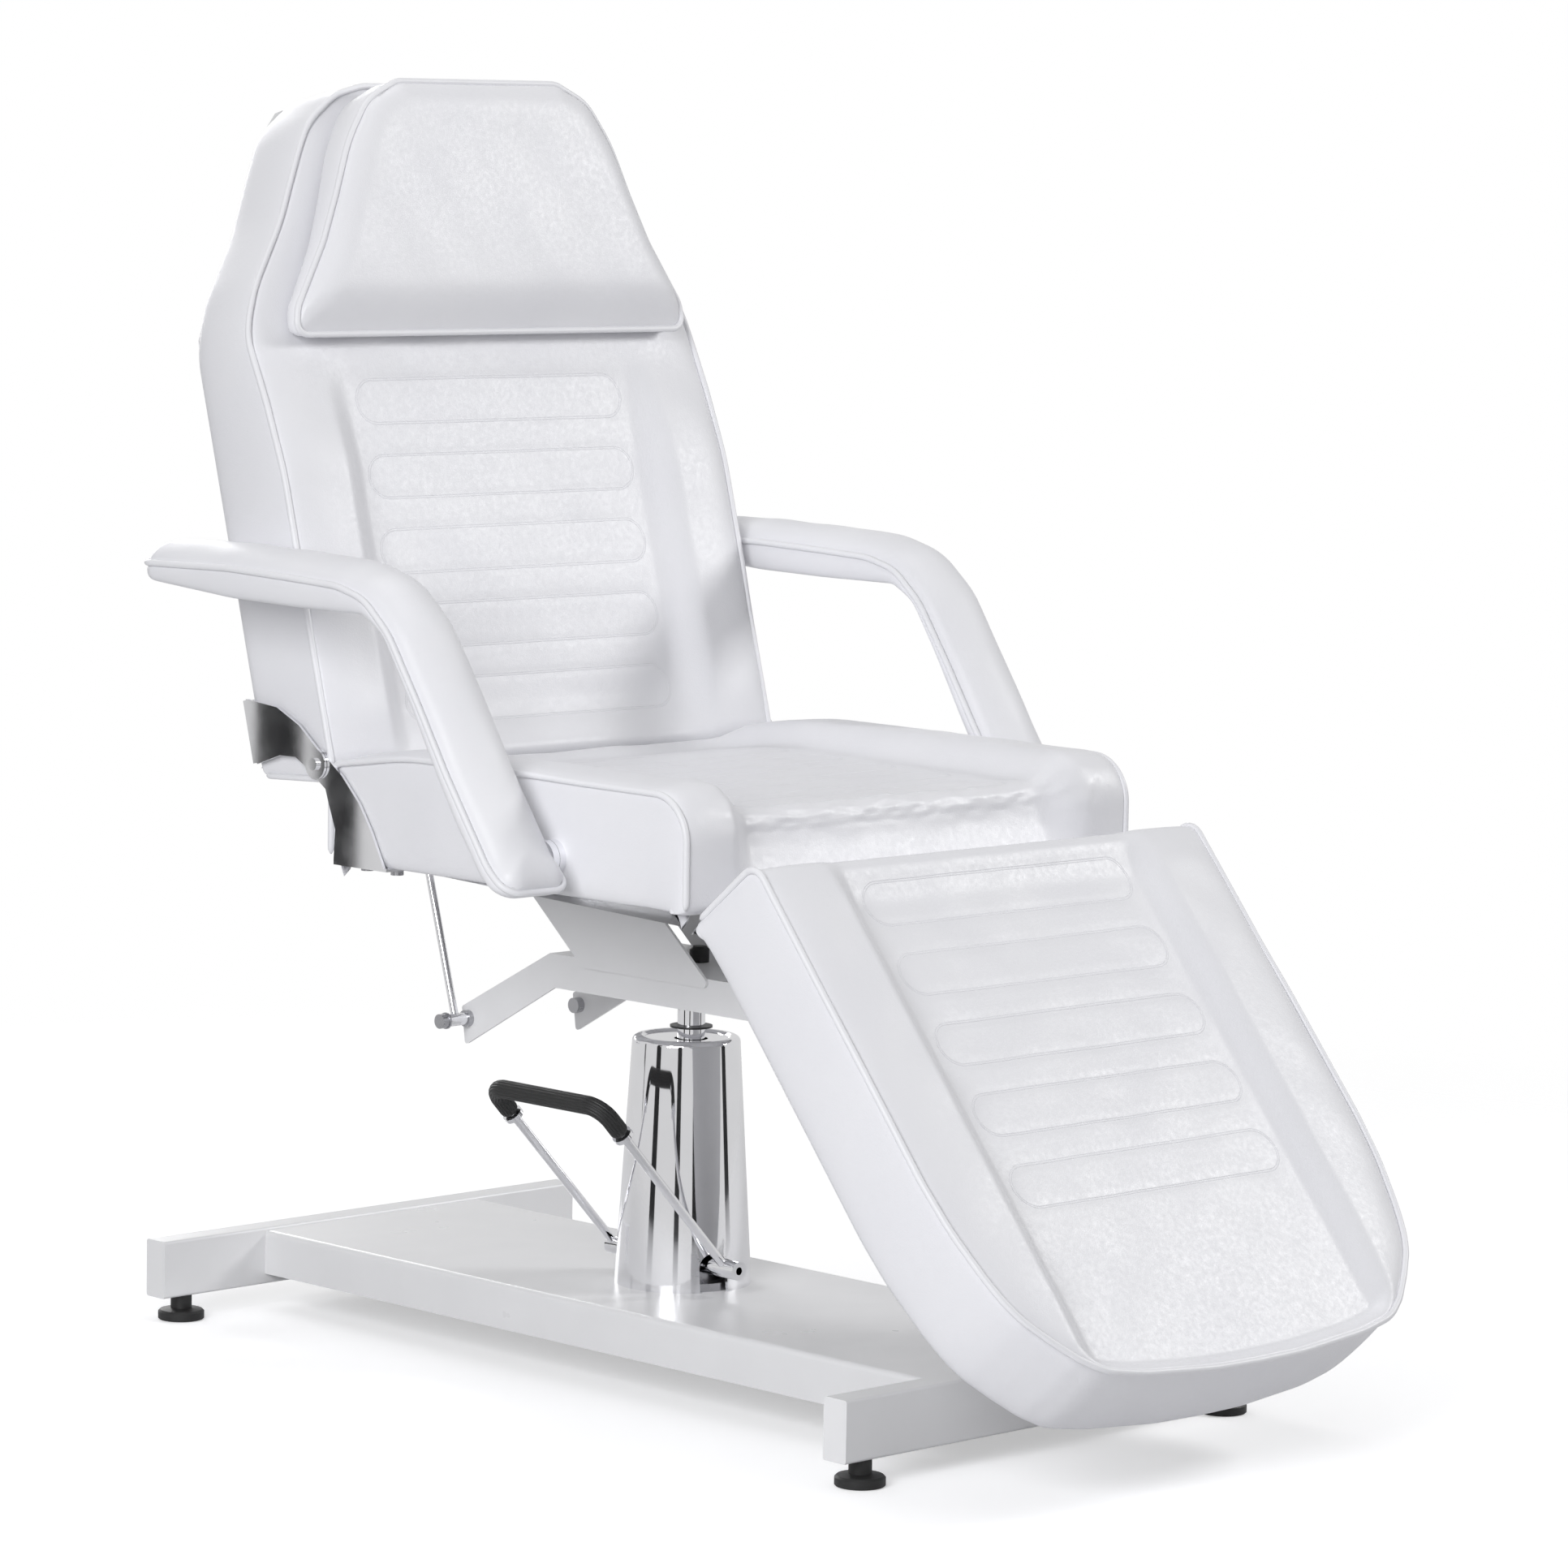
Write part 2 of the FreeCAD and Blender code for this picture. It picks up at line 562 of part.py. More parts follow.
# Pedal: shaft through the pump, a bar bent to a U, a rubber grip and its collars.
shaft = fuse("pedal_shaft_solid", [
    rod("pedal_core", "shaft", "-boss_in - 1", "boss_in + 1", "y", x="pedal_x", z="pedal_z"),
    rod("pedal_boss_front", "boss", "-boss_front", "-boss_in", "y", x="pedal_x", z="pedal_z"),
    rod("pedal_boss_rear", "boss", "boss_in", "boss_rear", "y", x="pedal_x", z="pedal_z")])
node("pedal_shaft", cut("pedal_shaft_cut", shaft, [
    rod("pedal_shaft_hole", "boss_hole", "-boss_front - 5", "-boss_front + 25", "y",
        x="pedal_x", z="pedal_z")]))


def pedal_sweep(name, radius, start):
    """The U of the pedal from start along one arm round to start on the other."""
    body = doc.addObject("PartDesign::Body", name)
    path = attach(body, "XY_Plane", name + "_path")
    a, b, far, r = (SIZES[n] for n in (
        "arm_front", "arm_rear", "pedal_reach", "pedal_bend"))
    s0 = SIZES[start] if start else 2.0
    near = far - r
    line = Part.LineSegment
    path.addGeometry(line(Vec(s0, -a, 0), Vec(near, -a, 0)))
    path.addGeometry(Part.Arc(Vec(near, -a, 0), Vec(near + r * 0.7071, -a + r * 0.2929, 0),
                              Vec(far, -a + r, 0)))
    path.addGeometry(line(Vec(far, -a + r, 0), Vec(far, b - r, 0)))
    path.addGeometry(Part.Arc(Vec(far, b - r, 0), Vec(near + r * 0.7071, b - r * 0.2929, 0),
                              Vec(near, b, 0)))
    path.addGeometry(line(Vec(near, b, 0), Vec(s0, b, 0)))
    profile = attach(body, "YZ_Plane", name + "_profile", repr(s0))
    circle(profile, "-arm_front", "0", radius)
    sweep = body.newObject("PartDesign::AdditivePipe", name + "_sweep")
    sweep.Profile = profile
    sweep.Spine = (path, [])
    return place(body, "world", "pedal_x", "0", "pedal_z", Vec(0, 1, 0), "pedal_tilt")


bar = pedal_sweep("pedal_bar_bent", "pedal_bar", None)
node("pedal_arms", cut("pedal_arms_cut", bar, [
    rod("pedal_cope", "boss", "-boss_front - 5", "boss_rear + 5", "y", x="pedal_x", z="pedal_z")]))
sleeve = pedal_sweep("pedal_grip_outer", "grip", "grip_from")
node("pedal_grip", cut("pedal_grip_cut", sleeve, [pedal_sweep("pedal_grip_inner", "pedal_bar", None)]))
collars = []
for end, y in (("front", "-arm_front"), ("rear", "arm_rear")):
    ring = doc.addObject("PartDesign::Body", "pedal_collar_" + end)
    outline = attach(ring, "YZ_Plane", "pedal_collar_outline_" + end, "grip_from - collar_long")
    circle(outline, y, "0", "collar")
    circle(outline, y, "0", "pedal_bar")
    pad(ring, outline, "collar_long")
    collars.append(place(ring, "world", "pedal_x", "0", "pedal_z", Vec(0, 1, 0), "pedal_tilt"))
node("pedal_collars", fuse("pedal_collars_all", collars))

# Ram, with its piston and the ring above the cover.
node("piston_rod", spun("piston_rod_turned", [
    ("0", "ram_low"), ("piston", "ram_low"), ("piston", "ram_low + piston_tall"),
    ("ram", "ram_low + piston_tall"), ("ram", "ram_high - 2"), ("ram - 2", "ram_high"),
    ("0", "ram_high")]))
node("ram_ring", spun("ram_ring_turned", [
    ("ram", "ring_low"), ("ring", "ring_low"), ("ring", "ring_low + ring_tall"),
    ("ram", "ring_low + ring_tall")]))

# Beam on the ram: a block for the ram, two cheeks and a top sheet.
socket = box("ram_socket_block", ("-beam_half + beam_sheet", "beam_half - beam_sheet"),
             ("-socket_half", "socket_half"), ("socket_low", "beam_high - beam_sheet"))
node("ram_socket", cut("ram_socket_cut", socket, [
    rod("ram_socket_bore", "ram + run_gap", "socket_low - 5", "beam_high")]))
CHEEK = [("beam_front", "beam_high"), ("beam_front", "beam_low"),
         ("beam_bend_low", "beam_low"), ("ear_low_y", "ear_low_z"),
         ("ear_high_y", "ear_high_z"), ("beam_bend", "beam_high")]
for side, sign, span in sides():
    x = span("beam_half - beam_sheet", "beam_half")
    cheek = prism("beam_cheek_sheet_" + side, "YZ_Plane", CHEEK, *x)
    rounded(cheek, lambda e: along_x(e) and e.CenterOfMass.y > SIZES["ear_low_y"] - 5, "edge_round")
    node("beam_cheek_" + side, cut("beam_cheek_cut_" + side, cheek, [
        rod("beam_cheek_hole_" + side, "gas_pin", "-100", "100", "x",
            y="gas_low_y", z="gas_low_z")]))
node("beam_top_sheet", prism("beam_top_fold", "YZ_Plane", [
    ("beam_front", "beam_high"), ("beam_front", "beam_low + 6"),
    ("beam_front + beam_sheet", "beam_low + 6"),
    ("beam_front + beam_sheet", "beam_high - beam_sheet"),
    ("beam_bend - 0.745", "beam_high - beam_sheet"),
    ("web_end_y - 1.4", "web_end_z - 2.65"), ("web_end_y", "web_end_z"),
    ("beam_bend", "beam_high")],
    "-beam_half + beam_sheet", "beam_half - beam_sheet"))
node("beam_stop", spun("beam_stop_turned", [
    ("0", "beam_high"), ("bumper", "beam_high"), ("bumper", "bumper_high - 3"),
    ("bumper - 3", "bumper_high"), ("0", "bumper_high")]))
nodes[-1].setExpression("Placement.Base.y", bound("bumper_y"))

# Slanted plates that carry the seat, each with a lip under the board.
BOARD_BOLTS = ["plate_top_front + 22", "plate_top_rear - 80", "plate_top_rear - 30"]
seat_bolts = []
for side, sign, span in sides():
    x = span("beam_half", "beam_half + plate")
    web = prism("seat_plate_sheet_" + side, "YZ_Plane", [
        ("plate_front", "plate_low"), ("plate_rear", "plate_low"),
        ("plate_top_rear", "seat_low"), ("plate_top_front", "seat_low")], *x)
    rounded(web, lambda e: along_x(e) and e.CenterOfMass.z < SIZES["plate_low"] + 8, "plate_round")
    lip = box("seat_lip_" + side, span("lip_in", "beam_half"),
              ("plate_top_front + 8", "plate_top_rear"), ("seat_low - plate", "seat_low"))
    holes = []
    for k, y in enumerate(BOARD_BOLTS):
        at = {"x": ("" if sign > 0 else "-") + "(beam_half - 18)", "y": y}
        holes.append(rod("seat_lip_hole_%s_%d" % (side, k), "pump_bolt",
                         "seat_low - 10", "seat_low + board", **at))
        seat_bolts.append(fuse("seat_bolt_%s_%d" % (side, k), [
            rod("seat_shank_%s_%d" % (side, k), "pump_bolt", "seat_low - plate - 3",
                "seat_low + board", **at),
            rod("seat_head_%s_%d" % (side, k), "pump_bolt * 1.7",
                "seat_low - plate - 5", "seat_low - plate", **at)]))
    node("seat_plate_" + side, cut("seat_plate_cut_" + side,
                                   fuse("seat_plate_both_" + side, [web, lip]), holes))
node("seat_bolts", fuse("seat_bolts_all", seat_bolts))

# Seat: board let into the underside of the cushion.
LUG_Y = ("lug_screw_front", "lug_screw_rear")


def lug_holes(name, low, high):
    out = []
    for side, sg in (("left", "-"), ("right", "")):
        for k, y in enumerate(LUG_Y):
            out.append(rod("%s_%s_%d" % (name, side, k), "screw", low, high,
                           x=sg + LUG_SCREW, y=y))
    return out


board_holes = [rod("board_hole_%s_%d" % (s, k), "pump_bolt", "seat_low - 5",
                   "seat_low + board + 5", x=sg + "(beam_half - 18)", y=y)
               for s, sg in (("left", "-"), ("right", "")) for k, y in enumerate(BOARD_BOLTS)]
blank = box("seat_board_blank", ("-" + BOARD_HALF, BOARD_HALF),
            ("board_front", "board_rear"), ("seat_low", "seat_low + board"))
node("seat_board", cut("seat_board_cut", blank, board_holes + lug_holes(
    "board_lug_hole", "seat_low - 5", "seat_low + board + 5")))
foam = prism("seat_foam", "YZ_Plane", list(zip(*SEAT_SIDE)), "-seat_half", "seat_half")
rounded(foam, lambda e: abs(e.CenterOfMass.x) > 0.99 * SIZES["seat_half"]
        and e.CenterOfMass.z > SIZES["seat_sunk"] - 13, "seat_edge")
node("seat_cushion", cut("seat_cushion_cut", foam, [
    box("seat_recess", ("-" + BOARD_HALF, BOARD_HALF), ("board_front", "board_rear"),
        ("seat_low - 5", "seat_low + board")),
    box("seat_sunk_panel", ("-seat_panel", "seat_panel"), ("board_front + 20", "board_rear + 40"),
        ("seat_sunk", "seat_sunk + 40"))]))

# Recline hinge: a band on the seat, a plate on the backrest, a rivet on each side.
lug_screws = []
back_screws = []
rivets = []
BACK_LUG = ("back_screw_high", "back_screw_low")
for side, sign, span in sides():
    low = span("seat_half", "seat_half + hinge_sheet")
    band = fuse("seat_band_" + side, [
        prism("seat_band_sheet_" + side, "YZ_Plane", list(zip(*LOWER_PLATE)), *low),
        rod("seat_band_lobe_" + side, "hinge_lobe", low[0], low[1], "x",
            y="hinge_y", z="hinge_z"),
        box("seat_band_lug_" + side, span(LUG_IN, "seat_half + hinge_sheet"),
            ("lug_front", "lug_rear"), ("seat_low - hinge_sheet", "seat_low"))])
    sg = "" if sign > 0 else "-"
    holes = [rod("seat_band_hole_%s_%d" % (side, k), "screw", "seat_low - 10", "seat_low + 5",
                 x=sg + LUG_SCREW, y=y) for k, y in enumerate(LUG_Y)]
    node("seat_hinge_plate_" + side, cut("seat_hinge_cut_" + side, band, holes + [
        rod("seat_band_pivot_" + side, "rivet + run_gap", "-400", "400", "x",
            y="hinge_y", z="hinge_z")]))
    for k, y in enumerate(LUG_Y):
        at = {"x": sg + LUG_SCREW, "y": y}
        lug_screws.append(fuse("lug_screw_%s_%d" % (side, k), [
            rod("lug_shank_%s_%d" % (side, k), "screw", "seat_low - hinge_sheet - 2",
                "seat_low + board", **at),
            rod("lug_head_%s_%d" % (side, k), "screw_head",
                "seat_low - hinge_sheet - screw_head_tall", "seat_low - hinge_sheet", **at)]))
    high = span("seat_half + hinge_sheet + hinge_skip", "seat_half + 2 * hinge_sheet + hinge_skip")
    flat = prism("back_plate_sheet_" + side, "YZ_Plane", list(zip(*UPPER_PLATE)), *high)
    lug = box("back_plate_lug_" + side, span(LUG_IN, "seat_half + 2 * hinge_sheet + hinge_skip"),
              ("0", "hinge_sheet"), ("back_lug_low", "back_lug_high"), "back")
    tie = box("back_plate_tie_" + side, high, ("-2 * hinge_sheet", "hinge_sheet"),
              ("back_lug_low", "back_lug_high"), "back")
    holes = []
    for k, e in enumerate(BACK_LUG):
        shank = doc.addObject("Part::Cylinder", "back_hole_%s_%d" % (side, k))
        shank.setExpression("Radius", bound("screw"))
        shank.Height = 40
        place(shank, "world", sg + LUG_SCREW,
              "back_y - 20 * cos(back_lean) + (%s) * sin(back_lean)" % e,
              "back_z + 20 * sin(back_lean) + (%s) * cos(back_lean)" % e,
              Vec(1, 0, 0), "-90 - back_lean")
        holes.append(shank)
    node("back_hinge_plate_" + side, cut(
        "back_hinge_cut_" + side, fuse("back_hinge_all_" + side, [
            flat, lug, tie, rod("back_plate_lobe_" + side, "hinge_lobe", high[0], high[1],
                                "x", y="hinge_y", z="hinge_z")]),
        holes + [rod("back_plate_pivot_" + side, "rivet", "-400", "400", "x",
                     y="hinge_y", z="hinge_z")]))
    for k, e in enumerate(BACK_LUG):
        parts = []
        for part, r, low_t, long in (("shank", "screw", "-board", "board + hinge_sheet + 2"),
                                     ("head", "screw_head", "hinge_sheet", "screw_head_tall")):
            c = doc.addObject("Part::Cylinder", "back_%s_%s_%d" % (part, side, k))
            c.setExpression("Radius", bound(r))
            c.setExpression("Height", bound(long))
            place(c, "world", sg + LUG_SCREW,
                  "back_y + (%s) * cos(back_lean) + (%s) * sin(back_lean)" % (low_t, e),
                  "back_z - (%s) * sin(back_lean) + (%s) * cos(back_lean)" % (low_t, e),
                  Vec(1, 0, 0), "-90 - back_lean")
            parts.append(c)
        back_screws.append(fuse("back_screw_%s_%d" % (side, k), parts))
    shank = rod("rivet_shank_" + side, "rivet", *span("seat_half + 0.2", "seat_half + 7"),
                axis="x", y="hinge_y", z="hinge_z")
    head = rod("rivet_head_" + side, "rivet_head", *span(
        "seat_half + 2 * hinge_sheet + hinge_skip",
        "seat_half + 2 * hinge_sheet + hinge_skip + rivet_dome"),
        axis="x", y="hinge_y", z="hinge_z")
    rivets.append(fuse("rivet_" + side, [shank, head]))
node("seat_hinge_screws", fuse("seat_hinge_screws_all", lug_screws))
node("back_hinge_screws", fuse("back_hinge_screws_all", back_screws))
node("hinge_rivets", fuse("hinge_rivets_all", rivets))

# Backrest: outline seen from the front crossed with its side, board let in behind.
half = list(zip(*BACK_HALF))
front = prism("back_front_view", "XZ_Plane",
              [(w, a) for a, w in half] + [("-%s" % w, a) for a, w in reversed(half)],
              "-10", "130")
place(front, "back")
side_view = prism("back_side_view", "YZ_Plane", [("-%s" % t, e) for t, e in zip(*BACK_SIDE)],
                  "-320", "320")
place(side_view, "back")
inset = [("%s - back_inset" % w, a) for a, w in half]
inset[0] = (BOARD_HALF, "back_lug_low")
inset[-1] = ("100", "606")
blank = prism("back_board_blank", "XZ_Plane",
              inset + [("-(%s)" % w, a) for w, a in reversed(inset)], "0", "board")
place(blank, "back")
shanks = []
for side, sg in (("left", "-"), ("right", "")):
    for k, e in enumerate(BACK_LUG):
        c = doc.addObject("Part::Cylinder", "back_board_hole_%s_%d" % (side, k))
        c.setExpression("Radius", bound("screw"))
        c.Height = 40
        place(c, "world", sg + LUG_SCREW,
              "back_y - 20 * cos(back_lean) + (%s) * sin(back_lean)" % e,
              "back_z + 20 * sin(back_lean) + (%s) * cos(back_lean)" % e,
              Vec(1, 0, 0), "-90 - back_lean")
        shanks.append(c)
node("back_board", cut("back_board_cut", blank, shanks))
whole = common("back_foam", [front, side_view])
node("backrest_cushion", cut("backrest_cushion_cut", whole, [
    blank, box("back_sunk_panel", ("-back_panel", "back_panel"), ("-130", "-back_sunk"),
               ("-120", "290"), "back")]))

# Gas springs: rod with a cross tube below, cylinder with an eye above.
gas_bolts = []
gas_nuts = []
for side, sign, span in sides():
    sg = "" if sign > 0 else "-"
    mid = sg + "gas_x"
    low = {"axis": "x", "y": "gas_low_y", "z": "gas_low_z"}
    gas_bolts.append(fuse("gas_bolt_" + side, [
        rod("gas_shank_" + side, "gas_pin", *span("beam_half - 12", "gas_x + 16"), **low),
        rod("gas_washer_" + side, "gas_washer", *span("beam_half", "gas_x - gas_eye_half - 0.2"), **low),
        rod("gas_flange_" + side, "gas_washer", *span("gas_x + gas_eye_half + 0.2", "gas_x + 14"), **low),
        rod("gas_head_" + side, "gas_head", *span("gas_x + 14", "gas_x + 22"), **low)]))
    gas_nuts.append(cut("gas_nut_" + side, rod(
        "gas_nut_body_" + side, "gas_nut",
        *span("beam_half - beam_sheet - gas_nut_tall", "beam_half - beam_sheet"), **low),
        [rod("gas_nut_hole_" + side, "gas_pin", "-100", "100", **low)]))
    rod_solid = fuse("gas_rod_both_" + side, [
        leaning("gas_stem_" + side, "gas_rod", "gas_eye - 1", "gas_rod_long",
                mid, "gas_low_y", "gas_low_z"),
        rod("gas_eye_" + side, "gas_eye", *span("gas_x - gas_eye_half", "gas_x + gas_eye_half"), **low)])
    node("gas_rod_" + side, cut("gas_rod_cut_" + side, rod_solid, [
        rod("gas_eye_hole_" + side, "gas_pin + run_gap", "-200", "200", **low)]))
    tube = spun("gas_tube_" + side, [
        ("0", "-gas_tube_from - gas_cap"), ("0", "-gas_tube_from"), ("gas_tube - 1", "-gas_tube_from"),
        ("gas_tube", "-gas_tube_from - 1"), ("gas_tube", "-gas_tube_to + 1"),
        ("gas_tube - 1", "-gas_tube_to"), ("gas_bore", "-gas_tube_to"),
        ("gas_bore", "-gas_tube_from - gas_cap")])
    place(tube, "world", mid, "gas_up_y", "gas_up_z", Vec(1, 0, 0), "-gas_turn")
    up = {"axis": "x", "y": "gas_up_y", "z": "gas_up_z"}
    stem = leaning("gas_stub_" + side, "gas_stub", "-gas_tube_from - 1", "-5",
                   mid, "gas_up_y", "gas_up_z")
    eye = rod("gas_top_eye_" + side, "gas_top_eye", *span("gas_x - gas_lug", "gas_x + gas_lug"), **up)
    node("gas_cylinder_" + side, cut("gas_cylinder_cut_" + side, fuse(
        "gas_cylinder_all_" + side, [tube, stem, eye]), [
        rod("gas_top_hole_" + side, "gas_pin + run_gap", "-200", "200", **up)]))
    cheeks = []
    for k, (a, b) in enumerate((("gas_x - gas_lug - gas_cheek - 0.2", "gas_x - gas_lug - 0.2"),
                                ("gas_x + gas_lug + 0.2", "gas_x + gas_lug + gas_cheek + 0.2"))):
        cheeks.append(box("gas_cheek_%s_%d" % (side, k), span(a, b), ("0", "gas_up_off"),
                          ("gas_up_along - gas_cheek_half", "gas_up_along + gas_cheek_half"),
                          "back"))
        cheeks.append(rod("gas_cheek_round_%s_%d" % (side, k), "gas_cheek_half", *span(a, b), **up))
    node("gas_bracket_" + side, fuse("gas_bracket_all_" + side, cheeks + [
        box("gas_foot_" + side, span("gas_x - gas_foot_half", "gas_x + gas_foot_half"), ("0", "gas_cheek"),
            ("gas_up_along - gas_foot_tall", "gas_up_along + gas_foot_tall"), "back"),
        rod("gas_top_pin_" + side, "gas_pin", *span("gas_x - gas_lug - 5", "gas_x + gas_lug + 5"), **up)]))
node("gas_bolts", fuse("gas_bolts_all", gas_bolts))
node("gas_nuts", fuse("gas_nuts_all", gas_nuts))

# Head pillow that slides along the backrest.
half = list(zip(*PILLOW_HALF))
front = prism("pillow_front_view", "XZ_Plane",
              [(w, a) for a, w in half] + [("-%s" % w, a) for a, w in reversed(half)],
              "90", "180")
place(front, "back")
side_view = prism("pillow_side_view", "YZ_Plane", [("-%s" % t, e) for t, e in zip(*PILLOW_SIDE)],
                  "-280", "280")
place(side_view, "back")
node("head_pillow", common("head_pillow_foam", [front, side_view]))

# Leg rest, its board and its two hinges.
half = list(zip(*LEG_HALF))
plan = prism("leg_plan_view", "XY_Plane",
             [(w, "-%s" % a) for a, w in half] + [("-%s" % w, "-%s" % a) for a, w in reversed(half)],
             "-10", "130")
place(plan, "leg")
side_view = prism("leg_side_view", "YZ_Plane", [("-%s" % d, n) for d, n in zip(*LEG_SIDE)],
                  "-320", "320")
place(side_view, "leg")
inset = [("%s - leg_inset" % w, "-(%s)" % a) for a, w in half]
inset[0] = ("300 - leg_inset", "-14")
inset[-1] = ("60", "-(575)")
inset[-2] = ("145", "-(566)")
inset[-3] = ("188", "-(556)")
blank = prism("leg_board_blank", "XY_Plane",
              inset + [("-(%s)" % w, a) for w, a in reversed(inset)], "0", "board")
place(blank, "leg")
node("leg_board", blank)
whole = common("leg_foam", [plan, side_view])
node("legrest_cushion", cut("legrest_cushion_cut", whole, [
    blank, box("leg_sunk_panel", ("-leg_panel", "leg_panel"), ("-600", "-24"),
               ("leg_sunk", "leg_sunk + 40"), "leg")]))
pins = []
for side, sign, span in sides():
    sg = "" if sign > 0 else "-"
    at = {"axis": "x", "y": "knee_y", "z": "knee_z"}
    outer = span("knee_x - knee_half", "knee_x + knee_half")
    mid = span("knee_x - knee_mid", "knee_x + knee_mid")
    gap = span("knee_x - knee_mid - knee_gap", "knee_x + knee_mid + knee_gap")
    leaf = fuse("knee_seat_all_" + side, [
        box("knee_seat_leaf_" + side, outer, ("knee_y", "knee_y + leaf_long"),
            ("seat_low - leaf", "seat_low")),
        rod("knee_seat_tube_" + side, "knuckle", *outer, **at)])
    node("leg_hinge_seat_leaf_" + side, cut("knee_seat_cut_" + side, leaf, [
        box("knee_seat_gap_" + side, gap, ("knee_y - 20", "knee_y + knuckle + 1"),
            ("knee_z - 20", "seat_low + 5")),
        rod("knee_seat_hole_" + side, "knee_pin", "-400", "400", **at)]))
    leaf = fuse("knee_leg_all_" + side, [
        box("knee_leg_leaf_" + side, outer, ("-leaf_long", "1.5"), ("-leaf", "0"), "leg"),
        rod("knee_leg_tube_" + side, "knuckle", *mid, **at)])
    clear = []
    for k, (a, b) in enumerate((("knee_x - knee_half - 2", "knee_x - knee_mid"),
                                ("knee_x + knee_mid", "knee_x + knee_half + 2"))):
        clear.append(box("knee_leg_gap_%s_%d" % (side, k), span(a, b), ("-8", "20"),
                         ("-20", "5"), "leg"))
    node("leg_hinge_leg_leaf_" + side, cut("knee_leg_cut_" + side, leaf, clear + [
        rod("knee_leg_hole_" + side, "knee_pin + run_gap", "-400", "400", **at)]))
    pins.append(rod("knee_pin_" + side, "knee_pin", *span(
        "knee_x - knee_half - 2", "knee_x + knee_half + 2"), **at))
node("leg_hinge_pins", fuse("leg_hinge_pins_all", pins))

# Armrests: a disc with a pin on the seat, a disc in the pad, the bent pad itself.
for side, sign, span in sides():
    at = {"axis": "x", "y": "rest_y", "z": "rest_z"}
    node("armrest_boss_" + side, fuse("armrest_boss_all_" + side, [
        rod("armrest_boss_disc_" + side, "rest_disc", *span("seat_half", REST_SPLIT + " - 0.2"), **at),
        rod("armrest_boss_pin_" + side, "rest_pin", *span("seat_half + 1", REST_IN + " - 0.5"), **at)]))
    node("armrest_disc_" + side, cut("armrest_disc_cut_" + side, rod(
        "armrest_disc_body_" + side, "rest_disc", *span(REST_SPLIT + " + 0.2", REST_IN), **at), [
        rod("armrest_disc_hole_" + side, "rest_pin + run_gap", "-400", "400", **at)]))
    foam = prism("armrest_foam_" + side, "YZ_Plane", list(zip(*ARM_SIDE)), *span(REST_IN, REST_OUT))
    rounded(foam, lambda e: upright(e) and e.CenterOfMass.y > REST_END - 7, "rest_wide / 2 - 0.2")
    node("armrest_pad_" + side, foam)

doc.recompute()
bad = [o.Name for o in doc.Objects if "Invalid" in o.State or "Error" in o.State]
if bad:
    raise RuntimeError("failed objects: " + ", ".join(bad))
os.makedirs("parts", exist_ok=True)
for obj in nodes:
    if obj.Shape.isNull() or not obj.Shape.isValid() or not obj.Shape.Solids:
        raise RuntimeError("bad shape: " + obj.Label)
    obj.Shape.exportStep("parts/%s.step" % obj.Label)
    b = obj.Shape.BoundBox
    print("%-24s %2d solids %9.1f cm3  x %7.1f %7.1f  y %7.1f %7.1f  z %7.1f %7.1f" % (
        obj.Label, len(obj.Shape.Solids), obj.Shape.Volume / 1000.0,
        b.XMin, b.XMax, b.YMin, b.YMax, b.ZMin, b.ZMax))
print(len(nodes), "nodes")
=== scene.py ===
import json
import math

import bmesh
import bpy
import numpy as np
from mathutils import Matrix, Vector


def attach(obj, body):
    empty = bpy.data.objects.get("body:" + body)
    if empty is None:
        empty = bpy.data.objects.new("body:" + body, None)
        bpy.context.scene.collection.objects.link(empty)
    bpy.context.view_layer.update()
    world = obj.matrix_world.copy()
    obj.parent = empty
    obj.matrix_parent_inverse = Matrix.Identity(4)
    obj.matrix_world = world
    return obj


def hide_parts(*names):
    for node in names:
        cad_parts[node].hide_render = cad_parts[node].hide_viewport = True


# Looks of a white upholstered treatment chair on a hydraulic foot pump.
# Outlines are in millimetres; MM turns them into the frame's metres.
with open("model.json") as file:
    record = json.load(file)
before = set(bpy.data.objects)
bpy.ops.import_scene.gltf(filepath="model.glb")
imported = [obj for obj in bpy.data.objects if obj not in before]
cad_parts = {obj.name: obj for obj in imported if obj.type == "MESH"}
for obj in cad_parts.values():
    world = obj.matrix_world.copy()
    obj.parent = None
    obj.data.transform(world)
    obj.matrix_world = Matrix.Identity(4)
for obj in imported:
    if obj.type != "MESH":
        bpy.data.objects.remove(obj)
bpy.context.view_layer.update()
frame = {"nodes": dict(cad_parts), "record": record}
NODES = frame["nodes"]
MM = 0.001
SIDES = (("left", -1), ("right", 1))


# Camera of the photograph, an image of 1932 x 1932 pixels.
CAMERA_PLACE = (-4.1444, -4.3976, 1.2594)
CAMERA_AZIMUTH, CAMERA_ELEVATION, CAMERA_ROLL = -44.145, 6.314, 1.001
FOCAL_PIXELS, IMAGE_PIXELS, SENSOR = 7489.9, 1932, 36.0


